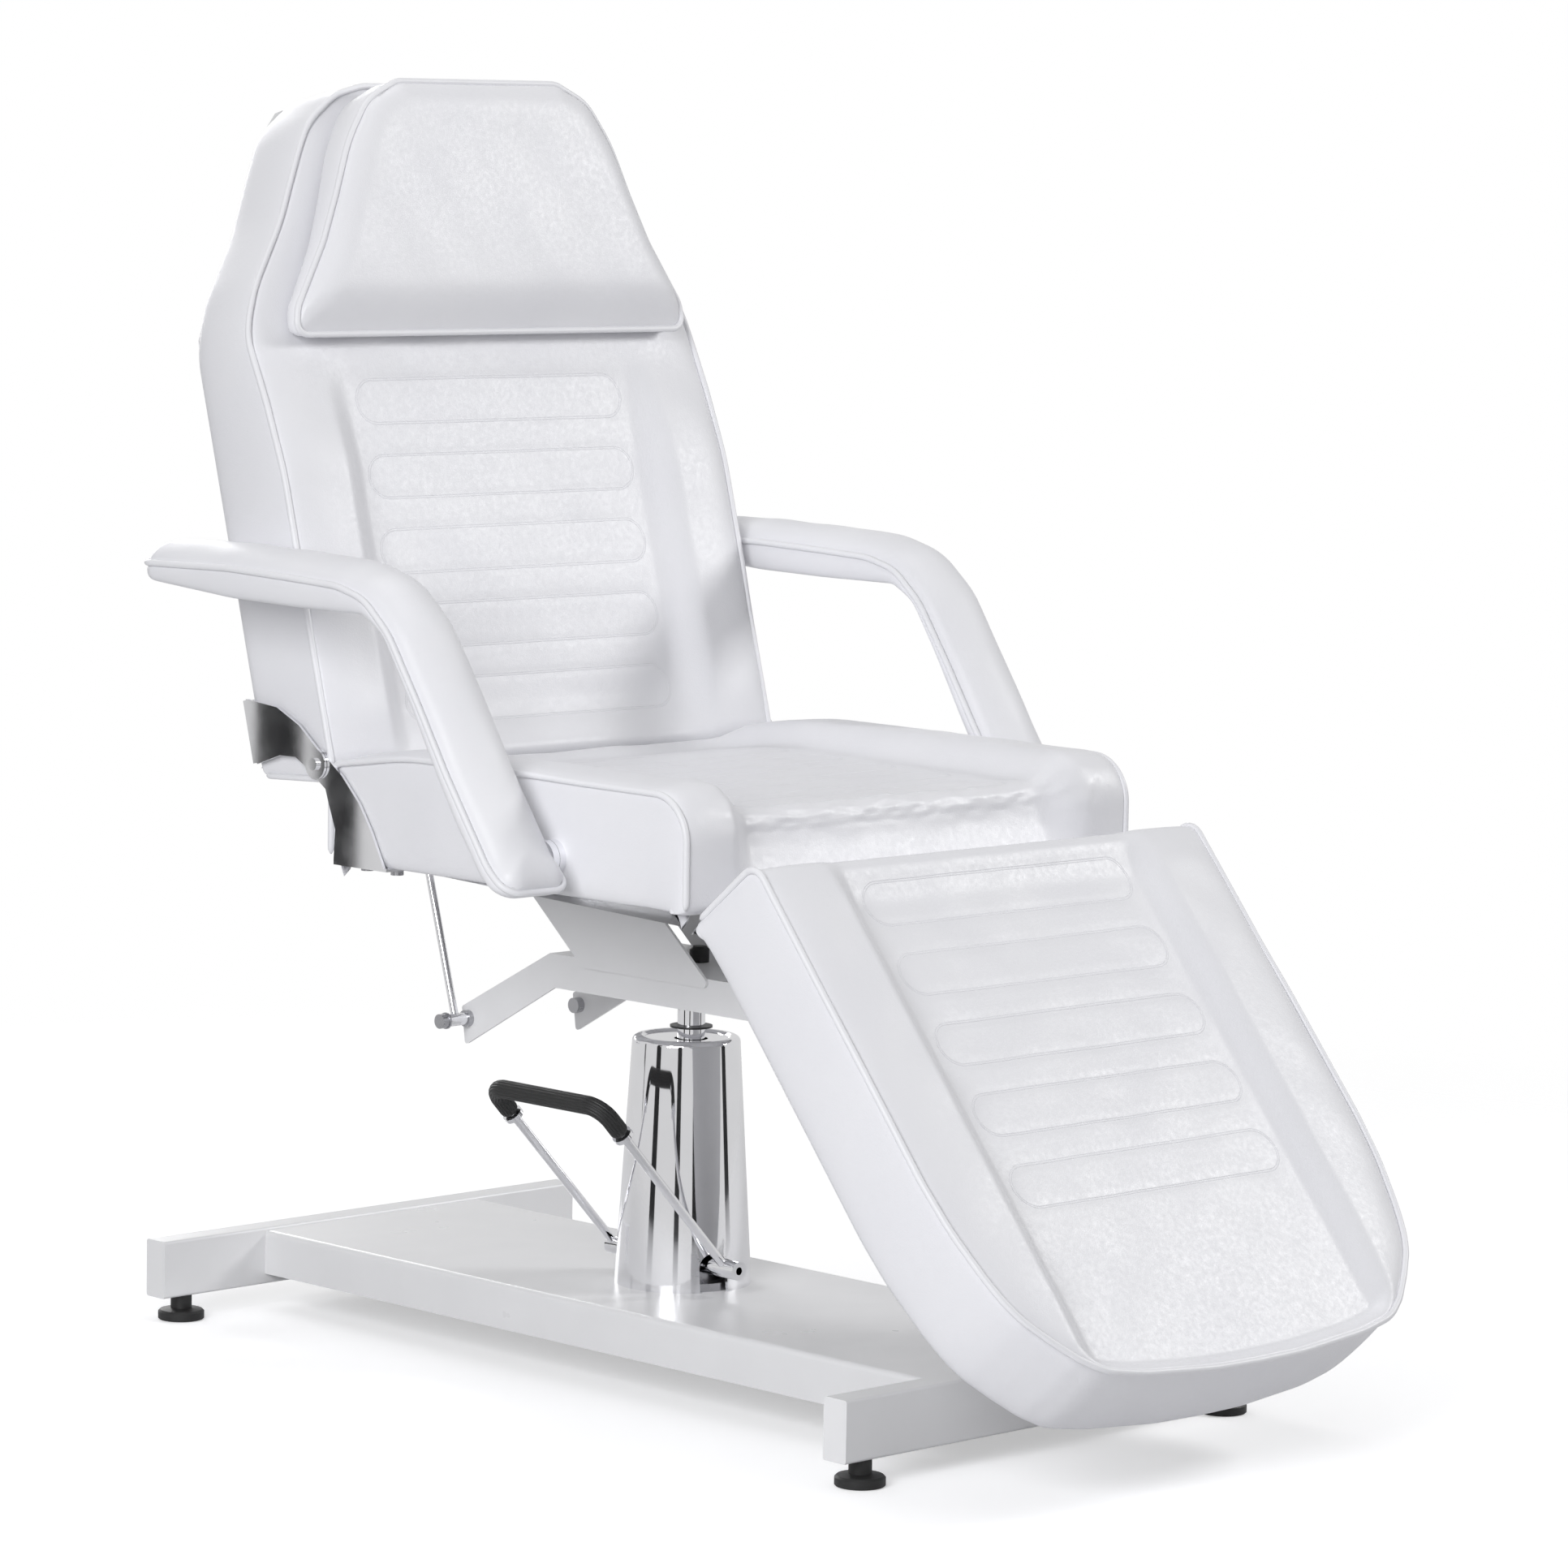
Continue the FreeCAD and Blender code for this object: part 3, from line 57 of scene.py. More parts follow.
def make_camera():
    """The photograph's camera, from its place, its angles and its focal length."""
    a, e, r = (math.radians(d) for d in (CAMERA_AZIMUTH, CAMERA_ELEVATION, CAMERA_ROLL))
    back = Vector((math.sin(a) * math.cos(e), -math.cos(a) * math.cos(e), math.sin(e)))
    right = Vector((math.cos(a), math.sin(a), 0))
    up = back.cross(right)
    image_right = math.cos(r) * right + math.sin(r) * up
    image_up = math.cos(r) * up - math.sin(r) * right
    data = bpy.data.cameras.new("photo_camera")
    data.sensor_width = SENSOR
    data.lens = FOCAL_PIXELS / IMAGE_PIXELS * SENSOR
    camera = bpy.data.objects.new("photo_camera", data)
    bpy.context.scene.collection.objects.link(camera)
    turn = Matrix((image_right, image_up, back)).transposed()
    camera.matrix_world = Matrix.Translation(CAMERA_PLACE) @ turn.to_4x4()
    bpy.context.scene.camera = camera


# Grids: spacing at a seam, how far that reaches, degrees a step in a bend.
EDGE_STEP, EDGE_REACH, BEND_STEP = 2.0, 9, 9
# Points read along a line when it is divided, and points compared in one batch.
SAMPLES, BATCH = 2000, 4000
# Metres: points closer than WELD become one, and edges shorter than SLIVER go.
WELD, SLIVER = 2e-5, 1e-6


# Small helpers on numbers and lines.
def ease(value, low, high):
    """Goes smoothly from 0 at low to 1 at high."""
    k = np.clip((np.asarray(value, float) - low) / (high - low), 0, 1)
    return k * k * (3 - 2 * k)


def rise(distance, reach):
    """A quarter ellipse: 0 at the seam, 1 from reach on."""
    k = 1 - np.clip(np.asarray(distance, float) / reach, 0, 1)
    return np.sqrt(1 - k * k)


def waves(seed, count, shortest, longest):
    """A soft seeded bumpy field of about unit height over two coordinates."""
    draw = np.random.default_rng(seed)
    length = shortest * (longest / shortest) ** draw.random(count)
    angle = draw.random(count) * 2 * math.pi
    phase = draw.random(count) * 2 * math.pi
    turn = 2 * math.pi / length

    def field(a, b):
        total = np.zeros(np.shape(a))
        for k in range(count):
            total += np.sin(turn[k] * (math.cos(angle[k]) * a + math.sin(angle[k]) * b) + phase[k])
        return total / math.sqrt(count)
    return field


def rounded(corners):
    """Points along a line of corners (a, b, radius), each corner an arc."""
    pts = [np.array(c[:2], float) for c in corners]
    out = [pts[0]]
    for k in range(1, len(pts) - 1):
        before, after = pts[k - 1] - pts[k], pts[k + 1] - pts[k]
        one, two = np.linalg.norm(before), np.linalg.norm(after)
        u, w = before / one, after / two
        turn = math.pi - math.acos(np.clip(u @ w, -1, 1))
        if turn < 1e-3 or corners[k][2] <= 0:
            out.append(pts[k])
            continue
        cut = min(corners[k][2] * math.tan(turn / 2), 0.48 * one, 0.48 * two)
        radius = cut / math.tan(turn / 2)
        middle = pts[k] + (u + w) / np.linalg.norm(u + w) * radius / math.cos(turn / 2)
        first, last = pts[k] + u * cut - middle, pts[k] + w * cut - middle
        steps = max(3, int(turn / math.radians(3)))
        for t in np.linspace(0, 1, steps + 1):
            mix = (math.sin((1 - t) * turn) * first + math.sin(t * turn) * last) / math.sin(turn)
            out.append(middle + mix)
    out.append(pts[-1])
    return np.array(out)


class Line:
    """A line of rounded corners, read by the length along it."""

    def __init__(self, corners):
        points = rounded(corners)
        keep = np.r_[True, np.linalg.norm(np.diff(points, axis=0), axis=1) > 1e-6]
        points = points[keep]
        reach = np.r_[0, np.cumsum(np.linalg.norm(np.diff(points, axis=0), axis=1))]
        self.length = reach[-1]
        self.s = np.linspace(0, self.length, max(8, int(self.length / 0.5)))
        self.a = np.interp(self.s, reach, points[:, 0])
        self.b = np.interp(self.s, reach, points[:, 1])
        da, db = np.gradient(self.a, self.s), np.gradient(self.b, self.s)
        size = np.hypot(da, db)
        self.da, self.db = da / size, db / size
        self.turn = np.abs(np.gradient(np.unwrap(np.arctan2(db, da)), self.s))

    def at(self, s):
        return np.interp(s, self.s, self.a), np.interp(s, self.s, self.b)

    def along(self, s):
        return np.interp(s, self.s, self.da), np.interp(s, self.s, self.db)

    def stations(self, low, high, step):
        """Lengths from low to high, closer in bends and beside both ends."""
        s = np.linspace(low, high, SAMPLES)
        bend = np.interp(s, self.s, self.turn)
        edge = np.exp(-(s - low) / EDGE_REACH) + np.exp(-(high - s) / EDGE_REACH)
        weight = 1 / step + np.degrees(bend) / BEND_STEP + edge / EDGE_STEP
        total = np.r_[0, np.cumsum((weight[1:] + weight[:-1]) / 2 * np.diff(s))]
        return np.interp(np.linspace(0, total[-1], int(total[-1]) + 2), total, s)


def across(half, step):
    """Shares of the half width from -1 to 1, closer beside both edges."""
    x = np.linspace(-half, half, SAMPLES)
    weight = 1 / step + np.exp(-(half - np.abs(x)) / EDGE_REACH) / EDGE_STEP
    total = np.r_[0, np.cumsum((weight[1:] + weight[:-1]) / 2 * np.diff(x))]
    count = 2 * (int(total[-1]) // 2) + 1
    return np.interp(np.linspace(0, total[-1], count), total, x) / half


# Frames of the leaning pads: where their foot is and how far they lean.
BACK_LEAN, LEG_SLOPE = math.radians(15.5), math.radians(50.3)
FRAMES = {
    "seat": ((0.0, 0.0), (1, 0), (0, 1)),
    "back": ((333.4, 665.0), (math.sin(BACK_LEAN), math.cos(BACK_LEAN)),
             (-math.cos(BACK_LEAN), math.sin(BACK_LEAN))),
    "leg": ((-318.0, 508.0), (-math.cos(LEG_SLOPE), -math.sin(LEG_SLOPE)),
            (-math.sin(LEG_SLOPE), math.cos(LEG_SLOPE))),
}


def to_chair(points, name, shift=0.0):
    """Turns (across, along, away) of a pad into the chair's frame, in metres."""
    (oy, oz), (ay, az), (wy, wz) = FRAMES[name]
    x, v, w = (points[..., k] for k in range(3))
    return np.stack([x + shift, oy + ay * v + wy * w, oz + az * v + wz * w], -1) * MM


# Meshes.
def mesh_object(name, parts, material, smooth=True):
    """One object from (points, faces) parts, joined where their points meet."""
    bm = bmesh.new()
    for points, faces in parts:
        made = [bm.verts.new(p) for p in np.asarray(points).reshape(-1, 3)]
        for face in faces:
            ring = [made[k] for k in face]
            if len(set(ring)) > 2:
                try:
                    bm.faces.new(ring)
                except ValueError:
                    continue
    bmesh.ops.remove_doubles(bm, verts=bm.verts, dist=WELD)
    bmesh.ops.dissolve_degenerate(bm, dist=SLIVER, edges=bm.edges)
    bmesh.ops.recalc_face_normals(bm, faces=bm.faces)
    for face in bm.faces:
        face.smooth = smooth
    mesh = bpy.data.meshes.new(name)
    bm.to_mesh(mesh)
    bm.free()
    mesh.materials.append(material)
    obj = bpy.data.objects.new(name, mesh)
    bpy.context.scene.collection.objects.link(obj)
    return obj


def grid_faces(rows, cols, wrap_rows=False, wrap_cols=False):
    """Quads of a grid of points, closed on itself either way if asked."""
    out = []
    for i in range(rows if wrap_rows else rows - 1):
        for j in range(cols if wrap_cols else cols - 1):
            i2, j2 = (i + 1) % rows, (j + 1) % cols
            out.append((i * cols + j, i2 * cols + j, i2 * cols + j2, i * cols + j2))
    return out


def tube(points, radius, closed=False, sides=12, section=None, taper=0.0):
    """A swept tube as one part; section gives the radius for each angle round it.

    taper is the number of rings that round off each open end.
    """
    pts = np.asarray(points, float)
    count = len(pts)
    if closed:
        forward = np.roll(pts, -1, 0) - np.roll(pts, 1, 0)
    else:
        forward = np.gradient(pts, axis=0)
    forward /= np.linalg.norm(forward, axis=1)[:, None]
    side = np.cross(forward[0], (0.31, 0.52, 0.79))
    side /= np.linalg.norm(side)
    frames = []
    for k in range(count):
        side = side - forward[k] * (side @ forward[k])
        side /= np.linalg.norm(side)
        frames.append((side.copy(), np.cross(forward[k], side)))
    twist = 0.0
    if closed:
        end = frames[-1][0] - forward[0] * (frames[-1][0] @ forward[0])
        twist = math.atan2(end @ frames[0][1], end @ frames[0][0])
    angle = np.linspace(0, 2 * math.pi, sides, endpoint=False)
    reach = np.full(sides, radius) if section is None else section(angle)
    rings = []
    for k in range(count):
        a = angle - twist * k / count
        grow = 1.0
        if taper and not closed:
            room = min(k, count - 1 - k)
            grow = min(1.0, math.sqrt(max(0.0, 1 - (1 - min(room / taper, 1)) ** 2)) * 0.75 + 0.25)
        u, w = frames[k]
        rings.append(pts[k] + (np.cos(a)[:, None] * u + np.sin(a)[:, None] * w) * reach[:, None] * grow)
    faces = grid_faces(count, sides, wrap_rows=closed, wrap_cols=True)
    if not closed:
        faces += [tuple(range(sides)), tuple((count - 1) * sides + k for k in range(sides))]
    return np.array(rings), faces


# Materials.
def new_material(name):
    """A material with its node tree and its main shader."""
    material = bpy.data.materials.new(name)
    material.use_nodes = True
    tree = material.node_tree
    return material, tree, tree.nodes["Principled BSDF"]


def texture(tree, kind, scale, detail=2.0):
    """A texture on the piece's own coordinates, in metres."""
    where = tree.nodes.new("ShaderNodeTexCoord").outputs["Object"]
    node = tree.nodes.new(kind)
    node.inputs["Scale"].default_value = scale
    if "Detail" in node.inputs:
        node.inputs["Detail"].default_value = detail
    tree.links.new(where, node.inputs["Vector"])
    return node


def spread(tree, value, low, high, source=(0.3, 0.7)):
    """Maps a texture's value to a range."""
    node = tree.nodes.new("ShaderNodeMapRange")
    node.inputs["From Min"].default_value = source[0]
    node.inputs["From Max"].default_value = source[1]
    node.inputs["To Min"].default_value = low
    node.inputs["To Max"].default_value = high
    tree.links.new(value, node.inputs["Value"])
    return node.outputs["Result"]


def blend_colours(tree, value, first, second):
    """Goes from the first colour at 0 to the second at 1."""
    node = tree.nodes.new("ShaderNodeMix")
    node.data_type = "RGBA"
    node.inputs[6].default_value = (*first, 1)
    node.inputs[7].default_value = (*second, 1)
    tree.links.new(value, node.inputs[0])
    return node.outputs[2]


def bump(tree, height, strength, distance, under=None):
    """Relief of a height in metres, over the relief below it."""
    node = tree.nodes.new("ShaderNodeBump")
    node.inputs["Strength"].default_value = strength
    node.inputs["Distance"].default_value = distance
    tree.links.new(height, node.inputs["Height"])
    if under is not None:
        tree.links.new(under, node.inputs["Normal"])
    return node.outputs["Normal"]


def leatherette(name, colour, shade, grain=1.0):
    """Coated upholstery cloth: a fine pebble grain over soft creases."""
    material, tree, shader = new_material(name)
    cloud = texture(tree, "ShaderNodeTexNoise", 9, 3)
    pebble = texture(tree, "ShaderNodeTexVoronoi", 820)
    pebble.feature = "SMOOTH_F1"
    creases = texture(tree, "ShaderNodeTexNoise", 190, 4)
    tree.links.new(blend_colours(tree, spread(tree, cloud.outputs["Fac"], 0, 1), colour, shade),
                   shader.inputs["Base Color"])
    tree.links.new(spread(tree, creases.outputs["Fac"], 0.36, 0.48), shader.inputs["Roughness"])
    under = bump(tree, creases.outputs["Fac"], 0.22 * grain, 0.0006)
    tree.links.new(bump(tree, pebble.outputs["Distance"], 0.35 * grain, 0.00022, under),
                   shader.inputs["Normal"])
    shader.inputs["Specular IOR Level"].default_value = 0.45
    return material


def painted(name, colour, roughness, peel=0.08):
    """Powder coat: a satin film with a faint orange peel."""
    material, tree, shader = new_material(name)
    skin = texture(tree, "ShaderNodeTexNoise", 420, 2)
    cloud = texture(tree, "ShaderNodeTexNoise", 14, 3)
    dull = tuple(c * 0.97 for c in colour)
    tree.links.new(blend_colours(tree, spread(tree, cloud.outputs["Fac"], 0, 1), colour, dull),
                   shader.inputs["Base Color"])
    tree.links.new(spread(tree, cloud.outputs["Fac"], roughness - 0.03, roughness + 0.04),
                   shader.inputs["Roughness"])
    tree.links.new(bump(tree, skin.outputs["Fac"], peel, 0.0008), shader.inputs["Normal"])
    return material


def metal(name, colour, roughness, brush=0.0):
    """Bare or plated metal, faintly smeared and brushed if asked."""
    material, tree, shader = new_material(name)
    smear = texture(tree, "ShaderNodeTexNoise", 35, 4)
    bright = tuple(min(1.0, c * 1.03) for c in colour)
    tree.links.new(blend_colours(tree, spread(tree, smear.outputs["Fac"], 0, 1), colour, bright),
                   shader.inputs["Base Color"])
    shader.inputs["Metallic"].default_value = 1.0
    tree.links.new(spread(tree, smear.outputs["Fac"], roughness * 0.8, roughness * 1.25),
                   shader.inputs["Roughness"])
    if brush:
        fine = texture(tree, "ShaderNodeTexNoise", 900, 3)
        tree.links.new(bump(tree, fine.outputs["Fac"], brush, 0.0002), shader.inputs["Normal"])
    return material


def moulded(name, colour, roughness):
    """Rubber or plastic with a fine matt grain."""
    material, tree, shader = new_material(name)
    fine = texture(tree, "ShaderNodeTexNoise", 1400, 2)
    cloud = texture(tree, "ShaderNodeTexNoise", 60, 3)
    pale = tuple(c * 1.5 for c in colour)
    tree.links.new(blend_colours(tree, spread(tree, cloud.outputs["Fac"], 0, 1), colour, pale),
                   shader.inputs["Base Color"])
    tree.links.new(spread(tree, cloud.outputs["Fac"], roughness - 0.05, roughness + 0.06),
                   shader.inputs["Roughness"])
    tree.links.new(bump(tree, fine.outputs["Fac"], 0.15, 0.0003), shader.inputs["Normal"])
    return material


def woven(name, colour):
    """Plain white lining cloth, woven at about a millimetre."""
    material, tree, shader = new_material(name)
    warp = texture(tree, "ShaderNodeTexWave", 500, 1)
    warp.bands_direction = "X"
    weft = texture(tree, "ShaderNodeTexWave", 500, 1)
    weft.bands_direction = "Z"
    both = tree.nodes.new("ShaderNodeMath")
    both.operation = "MULTIPLY"
    tree.links.new(warp.outputs["Fac"], both.inputs[0])
    tree.links.new(weft.outputs["Fac"], both.inputs[1])
    dark = tuple(c * 0.93 for c in colour)
    tree.links.new(blend_colours(tree, both.outputs["Value"], dark, colour),
                   shader.inputs["Base Color"])
    tree.links.new(bump(tree, both.outputs["Value"], 0.3, 0.0003), shader.inputs["Normal"])
    shader.inputs["Roughness"].default_value = 0.85
    return material


UPHOLSTERY = leatherette("upholstery", (0.80, 0.80, 0.825), (0.78, 0.78, 0.81))
PIPING = leatherette("piping", (0.81, 0.81, 0.835), (0.79, 0.79, 0.815), grain=0.5)
# The stitched ovals' cloth is a little darker than the upholstery: painted shade in the stitched
# groove.
SHADED_STITCH = leatherette("stitched_channel_painted_shade", (0.78, 0.78, 0.81), (0.76, 0.76, 0.79), grain=0.3)
FINISHES = {
    "upholstery": UPHOLSTERY,
    "board": woven("lining_cloth", (0.74, 0.74, 0.75)),
    "white_steel": painted("white_powder_coat", (0.80, 0.80, 0.81), 0.3),
    "black_steel": painted("black_enamel", (0.012, 0.012, 0.013), 0.24),
    "black_rubber": moulded("black_rubber", (0.012, 0.012, 0.012), 0.5),
    "black_plastic": moulded("black_plastic", (0.014, 0.014, 0.015), 0.36),
    "chrome": metal("chrome", (0.86, 0.86, 0.88), 0.05),
    "steel": metal("zinc_plated_steel", (0.45, 0.45, 0.47), 0.28, brush=0.2),
}


def finish_nodes():
    """Gives each node of the frame the finish of its slot."""
    for part in frame["record"]["subparts"]:
        node = NODES[part["node"]]
        material = FINISHES[part["material_slot"]]
        if node.material_slots:
            for slot in node.material_slots:
                slot.link = "OBJECT"
                slot.material = material
        else:
            node.data.materials.append(material)


# Padded pieces: a front sheet between piped seams, side panels and a closed back.
# PIPE is the piping's radius. PIPE_SHARE is how far it stands out of the seam, first at least and
# then in addition, and the same upward; it gets there between PROUD_FROM and PROUD_TO.
# A pad piped along its sides has no piping on its first PIPE_START and last PIPE_STOP.
# LIP_IN and LIP_UP turn the edge in at the back. END_BLEND is how far a bowed end is felt.
# An oval has half its length and height, and the step to the next one; STITCHES is the section of
# its stitching, and GUSSET that of a side panel: the share of its height, and how far it swells.
PIPE, PIPE_SHARE = 3.3, (1.3, 0.7, 0.9, 1.1)
PROUD_FROM, PROUD_TO = 250, 330
PIPE_START, PIPE_STOP = 24, 22
LIP_IN, LIP_UP = 16.0, 3.0
END_BLEND = 110
OVAL_LONG, OVAL_HIGH, OVAL_STEP = 180, 22.5, 77.5
OVAL_DIP, OVAL_DIP_REACH = 0.6, 3.5
STITCHES = ((-2.0, -0.5), (-1.5, 0.28), (-0.85, 0.42), (-0.3, -0.12), (0.3, -0.12),
            (0.85, 0.42), (1.5, 0.28), (2.0, -0.5))
GUSSET = ((0.0, 0.0), (0.04, 0.9), (0.1, 1.7), (0.2, 2.6), (0.32, 3.2), (0.45, 3.4), (0.58, 3.3),
          (0.7, 2.8), (0.8, 2.0), (0.88, 0.8), (0.94, -0.8), (0.98, -3.0), (1.0, -6.0))


class Pad:
    """One cushion. Its plan is (x, s), with s the length along the pad's side view.

    half is half the plan's outline. Between the two splits it is a side, and before and after
    them it gives the bow of the two ends. lift is the height over the line, base the foot of the
    side panels and fullness how much of their swell they have.
    """

    def __init__(self, name, pad_frame, line, half, splits, lift, base, shift=0.0,
                 piped_start=False, piped_end=True, step=4.5, fullness=None):
        self.name, self.frame, self.line, self.lift = name, pad_frame, line, lift
        self.base, self.shift, self.fullness = base, shift, fullness
        self.piped_start, self.piped_end = piped_start, piped_end
        side = half.stations(splits[0], splits[1], step)
        x, s = half.at(side)
        q = across(x.max(), step + 0.5)
        first, last = np.linspace(0, splits[0], 60), np.linspace(splits[1], half.length, 60)
        start_x, start_s = half.at(first)
        end_x, end_s = half.at(last[::-1])
        reach = np.abs(q)
        bow_start = np.interp(reach * x[0], start_x, start_s) - s[0]
        bow_end = np.interp(reach * x[-1], end_x, end_s) - s[-1]
        near_start = (1 - ease(side - side[0], 0, END_BLEND))[:, None]
        near_end = ease(side, side[-1] - END_BLEND, side[-1])[:, None]
        self.x = q[None, :] * x[:, None]
        self.s = s[:, None] + near_start * bow_start[None, :] + near_end * bow_end[None, :]
        self.ring()

    def ring(self):
        """Indices of the piped edge in order, with its outward direction in plan."""
        rows, cols = self.x.shape
        left = [(i, 0) for i in range(rows)]
        right = [(i, cols - 1) for i in range(rows)]
        end = [(rows - 1, j) for j in range(cols)]
        start = [(0, j) for j in range(cols)]
        if self.piped_start:
            order = left + end[1:-1] + right[::-1] + start[::-1][1:-1]
            self.rings, self.closed = [order], True
        elif self.piped_end:
            self.rings, self.closed = [left + end[1:-1] + right[::-1]], False
        else:
            self.rings, self.closed = [left, right[::-1]], False
        self.outward = []
        for order in self.rings:
            pts = np.array([(self.x[k], self.s[k]) for k in order])
            if self.closed:
                run = np.roll(pts, -1, 0) - np.roll(pts, 1, 0)
            else:
                run = np.gradient(pts, axis=0)
            run /= np.linalg.norm(run, axis=1)[:, None]
            self.outward.append(np.stack([-run[:, 1], run[:, 0]], 1))
        self.edge = np.concatenate([[(self.x[k], self.s[k]) for k in order] for order in self.rings])

    def margin(self, x, s):
        """Distance in plan from the nearest piped edge."""
        x, s = np.ravel(x), np.ravel(s)
        out = np.empty(len(x))
        for k in range(0, len(x), BATCH):
            gap = np.hypot(x[k:k + BATCH, None] - self.edge[None, :, 0],
                           s[k:k + BATCH, None] - self.edge[None, :, 1])
            out[k:k + BATCH] = gap.min(1)
        return out

    def surface(self, x, s, extra=0.0):
        """Points of the front sheet, raised by extra."""
        x, s = np.asarray(x, float), np.asarray(s, float)
        v, w = self.line.at(s)
        dv, dw = self.line.along(s)
        high = self.lift(x, s, v, self.margin(x, s).reshape(x.shape)) + extra
        return np.stack([x, v - dw * high, w + dv * high], -1)

    def side_panel(self, order, outward):
        """Rows of points from the piping to the tucked edge at the back."""
        x = np.array([self.x[k] for k in order])
        s = np.array([self.s[k] for k in order])
        top = np.array([self.front[k] for k in order])
        nx, ns = outward[:, 0], outward[:, 1]
        dv, dw = self.line.along(s)
        away = np.stack([nx, ns * dv, ns * dw], 1)
        foot = self.base(x, s, nx, ns)
        full = np.ones(len(x)) if self.fullness is None else self.fullness(x, s, top)
        rows = [top + (foot - top) * f + away * (o * full if o > 0 else o * np.ones(len(x)))[:, None]
                for f, o in GUSSET]
        inner = foot - away * LIP_IN
        tuck = self.tuck(foot)
        return rows + [inner, inner + tuck]

    def tuck(self, foot):
        """The lip's way back into the pad, so that its closing face lies inside."""
        return np.tile(np.array([0, 0, LIP_UP]), (len(foot), 1))

    def build(self):
        """The whole skin: front sheet, side panels and closed back."""
        rows, cols = self.x.shape
        self.front = self.surface(self.x, self.s)
        parts = [(to_chair(self.front, self.frame, self.shift), grid_faces(rows, cols))]
        lips = []
        for order, outward in zip(self.rings, self.outward):
            panel = np.array(self.side_panel(order, outward))
            count = len(order)
            parts.append((to_chair(panel, self.frame, self.shift),
                          grid_faces(len(panel), count, wrap_cols=self.closed)))
            lips.append(panel[-1])
        loop = [lips[0]]
        if not self.closed:
            if not self.piped_end:
                loop += [self.front[-1][1:-1], lips[1]]
            loop.append(self.front[0][::-1][1:-1])
        loop = np.concatenate(loop)
        parts += self.closing(loop)
        return mesh_object(self.name, parts, UPHOLSTERY)

    def closing(self, loop):
        """The closed back, one face round the whole loop."""
        points = to_chair(loop, self.frame, self.shift)
        return [(points, [tuple(range(len(points)))])]

    def piping(self):
        """A tube along each piped edge, a little proud of the seam."""
        parts = []
        for order, outward in zip(self.rings, self.outward):
            s = np.array([self.s[k] for k in order])
            top = np.array([self.front[k] for k in order])
            dv, dw = self.line.along(s)
            out = np.stack([outward[:, 0], outward[:, 1] * dv, outward[:, 1] * dw], 1)
            up = np.stack([np.zeros(len(s)), -dw, dv], 1)
            proud = (np.ones(len(s)) if self.piped_start else ease(s, PROUD_FROM, PROUD_TO))[:, None]
            out_low, out_more, up_low, up_more = PIPE_SHARE
            path = top + out * (out_low + out_more * proud) + up * (up_low + up_more * proud)
            if not self.piped_start:
                stop = 0 if self.piped_end else PIPE_STOP
                path = path[(s > PIPE_START) & (s < self.line.length - stop)]
            parts.append(tube(to_chair(path, self.frame, self.shift), PIPE * MM, self.closed,
                              taper=0 if self.closed else 2))
        return mesh_object(self.name + "_piping", parts, PIPING)

    def ovals(self, centres):
        """Stitched ovals: a pair of fine beads round each one, with a groove between, in a cloth made
        darker than the upholstery as painted shade.
        """
        parts = []
        high = OVAL_HIGH
        run = OVAL_LONG - high
        for centre in centres:
            n_side, n_arc = int(run / 2.4) * 2, 26
            t = np.linspace(-run, run, n_side, endpoint=False)
            a = np.linspace(-math.pi / 2, math.pi / 2, n_arc, endpoint=False)
            x = np.r_[t, run + high * np.cos(a), -t, -run - high * np.cos(a)]
            s = np.r_[np.full(n_side, -high), high * np.sin(a),
                      np.full(n_side, high), -high * np.sin(a)] + centre
            nx = np.r_[np.zeros(n_side), np.cos(a), np.zeros(n_side), -np.cos(a)]
            ns = np.r_[np.full(n_side, -1.0), np.sin(a), np.full(n_side, 1.0), -np.sin(a)]
            rings = [self.surface(x + nx * o, s + ns * o, up) for o, up in STITCHES]
            ring = np.stack(rings, 1)
            parts.append((to_chair(ring, self.frame, self.shift),
                          grid_faces(len(x), len(STITCHES), wrap_rows=True)))
        return mesh_object(self.name + "_stitched_ovals", parts, SHADED_STITCH)


def oval_dips(x, s, centres):
    """How far the cloth is drawn down along the stitched ovals."""
    total = np.zeros(np.shape(x))
    for centre in centres:
        dx = np.maximum(np.abs(x) - (OVAL_LONG - OVAL_HIGH), 0)
        gap = np.hypot(dx, s - centre) - OVAL_HIGH
        total -= OVAL_DIP * np.exp(-(gap / OVAL_DIP_REACH) ** 2)
    return total


def length_at(line, along_value, start=0.0):
    """The length along a line where its first coordinate has a value, past start."""
    mask = line.s >= start
    return np.interp(along_value, line.a[mask], line.s[mask])


def half_outline(line, corners, start=0.0):
    """Half a plan: corners (x, along, radius), with along turned into length."""
    return Line([(x, length_at(line, v, start) if v is not None else 0.0, r)
                 for x, v, r in corners])


def own(obj, body, *nodes, fill=None):
    """Ties a piece to its body and the nodes it stands for."""
    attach(obj, body)
    if nodes:
        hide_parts(*nodes)


# Seat: the top sheet wraps over the front and the rear down to the board.
SEAT_PIPE_X, SEAT_FOOT_X, SEAT_FOOT_Z = 299, 299.5, 513.4
SEAT_LINE = Line([(-286, 517, 0), (-286, SEAT_FOOT_Z, 1), (-307.5, SEAT_FOOT_Z, 7), (-307.5, 623, 44),
                  (92, 624, 400), (203, 608, 14), (203, SEAT_FOOT_Z, 7), (188, SEAT_FOOT_Z, 1),
                  (188, 517, 0)])
SEAT_TOP_FROM = 600
# The side panel's foot: its ends, and where the top's wrap over the front and the rear begins.
SEAT_FRONT, SEAT_FRONT_JOIN, SEAT_REAR_JOIN, SEAT_REAR = -297, -240, 150, 193
SEAT_OVALS = [140 - OVAL_STEP * k for k in range(6)]


def seat_on(y):
    """Length along the seat's side view at a place on its top."""
    top = SEAT_LINE.b > SEAT_TOP_FROM
    return np.interp(y, SEAT_LINE.a[top], SEAT_LINE.s[top])


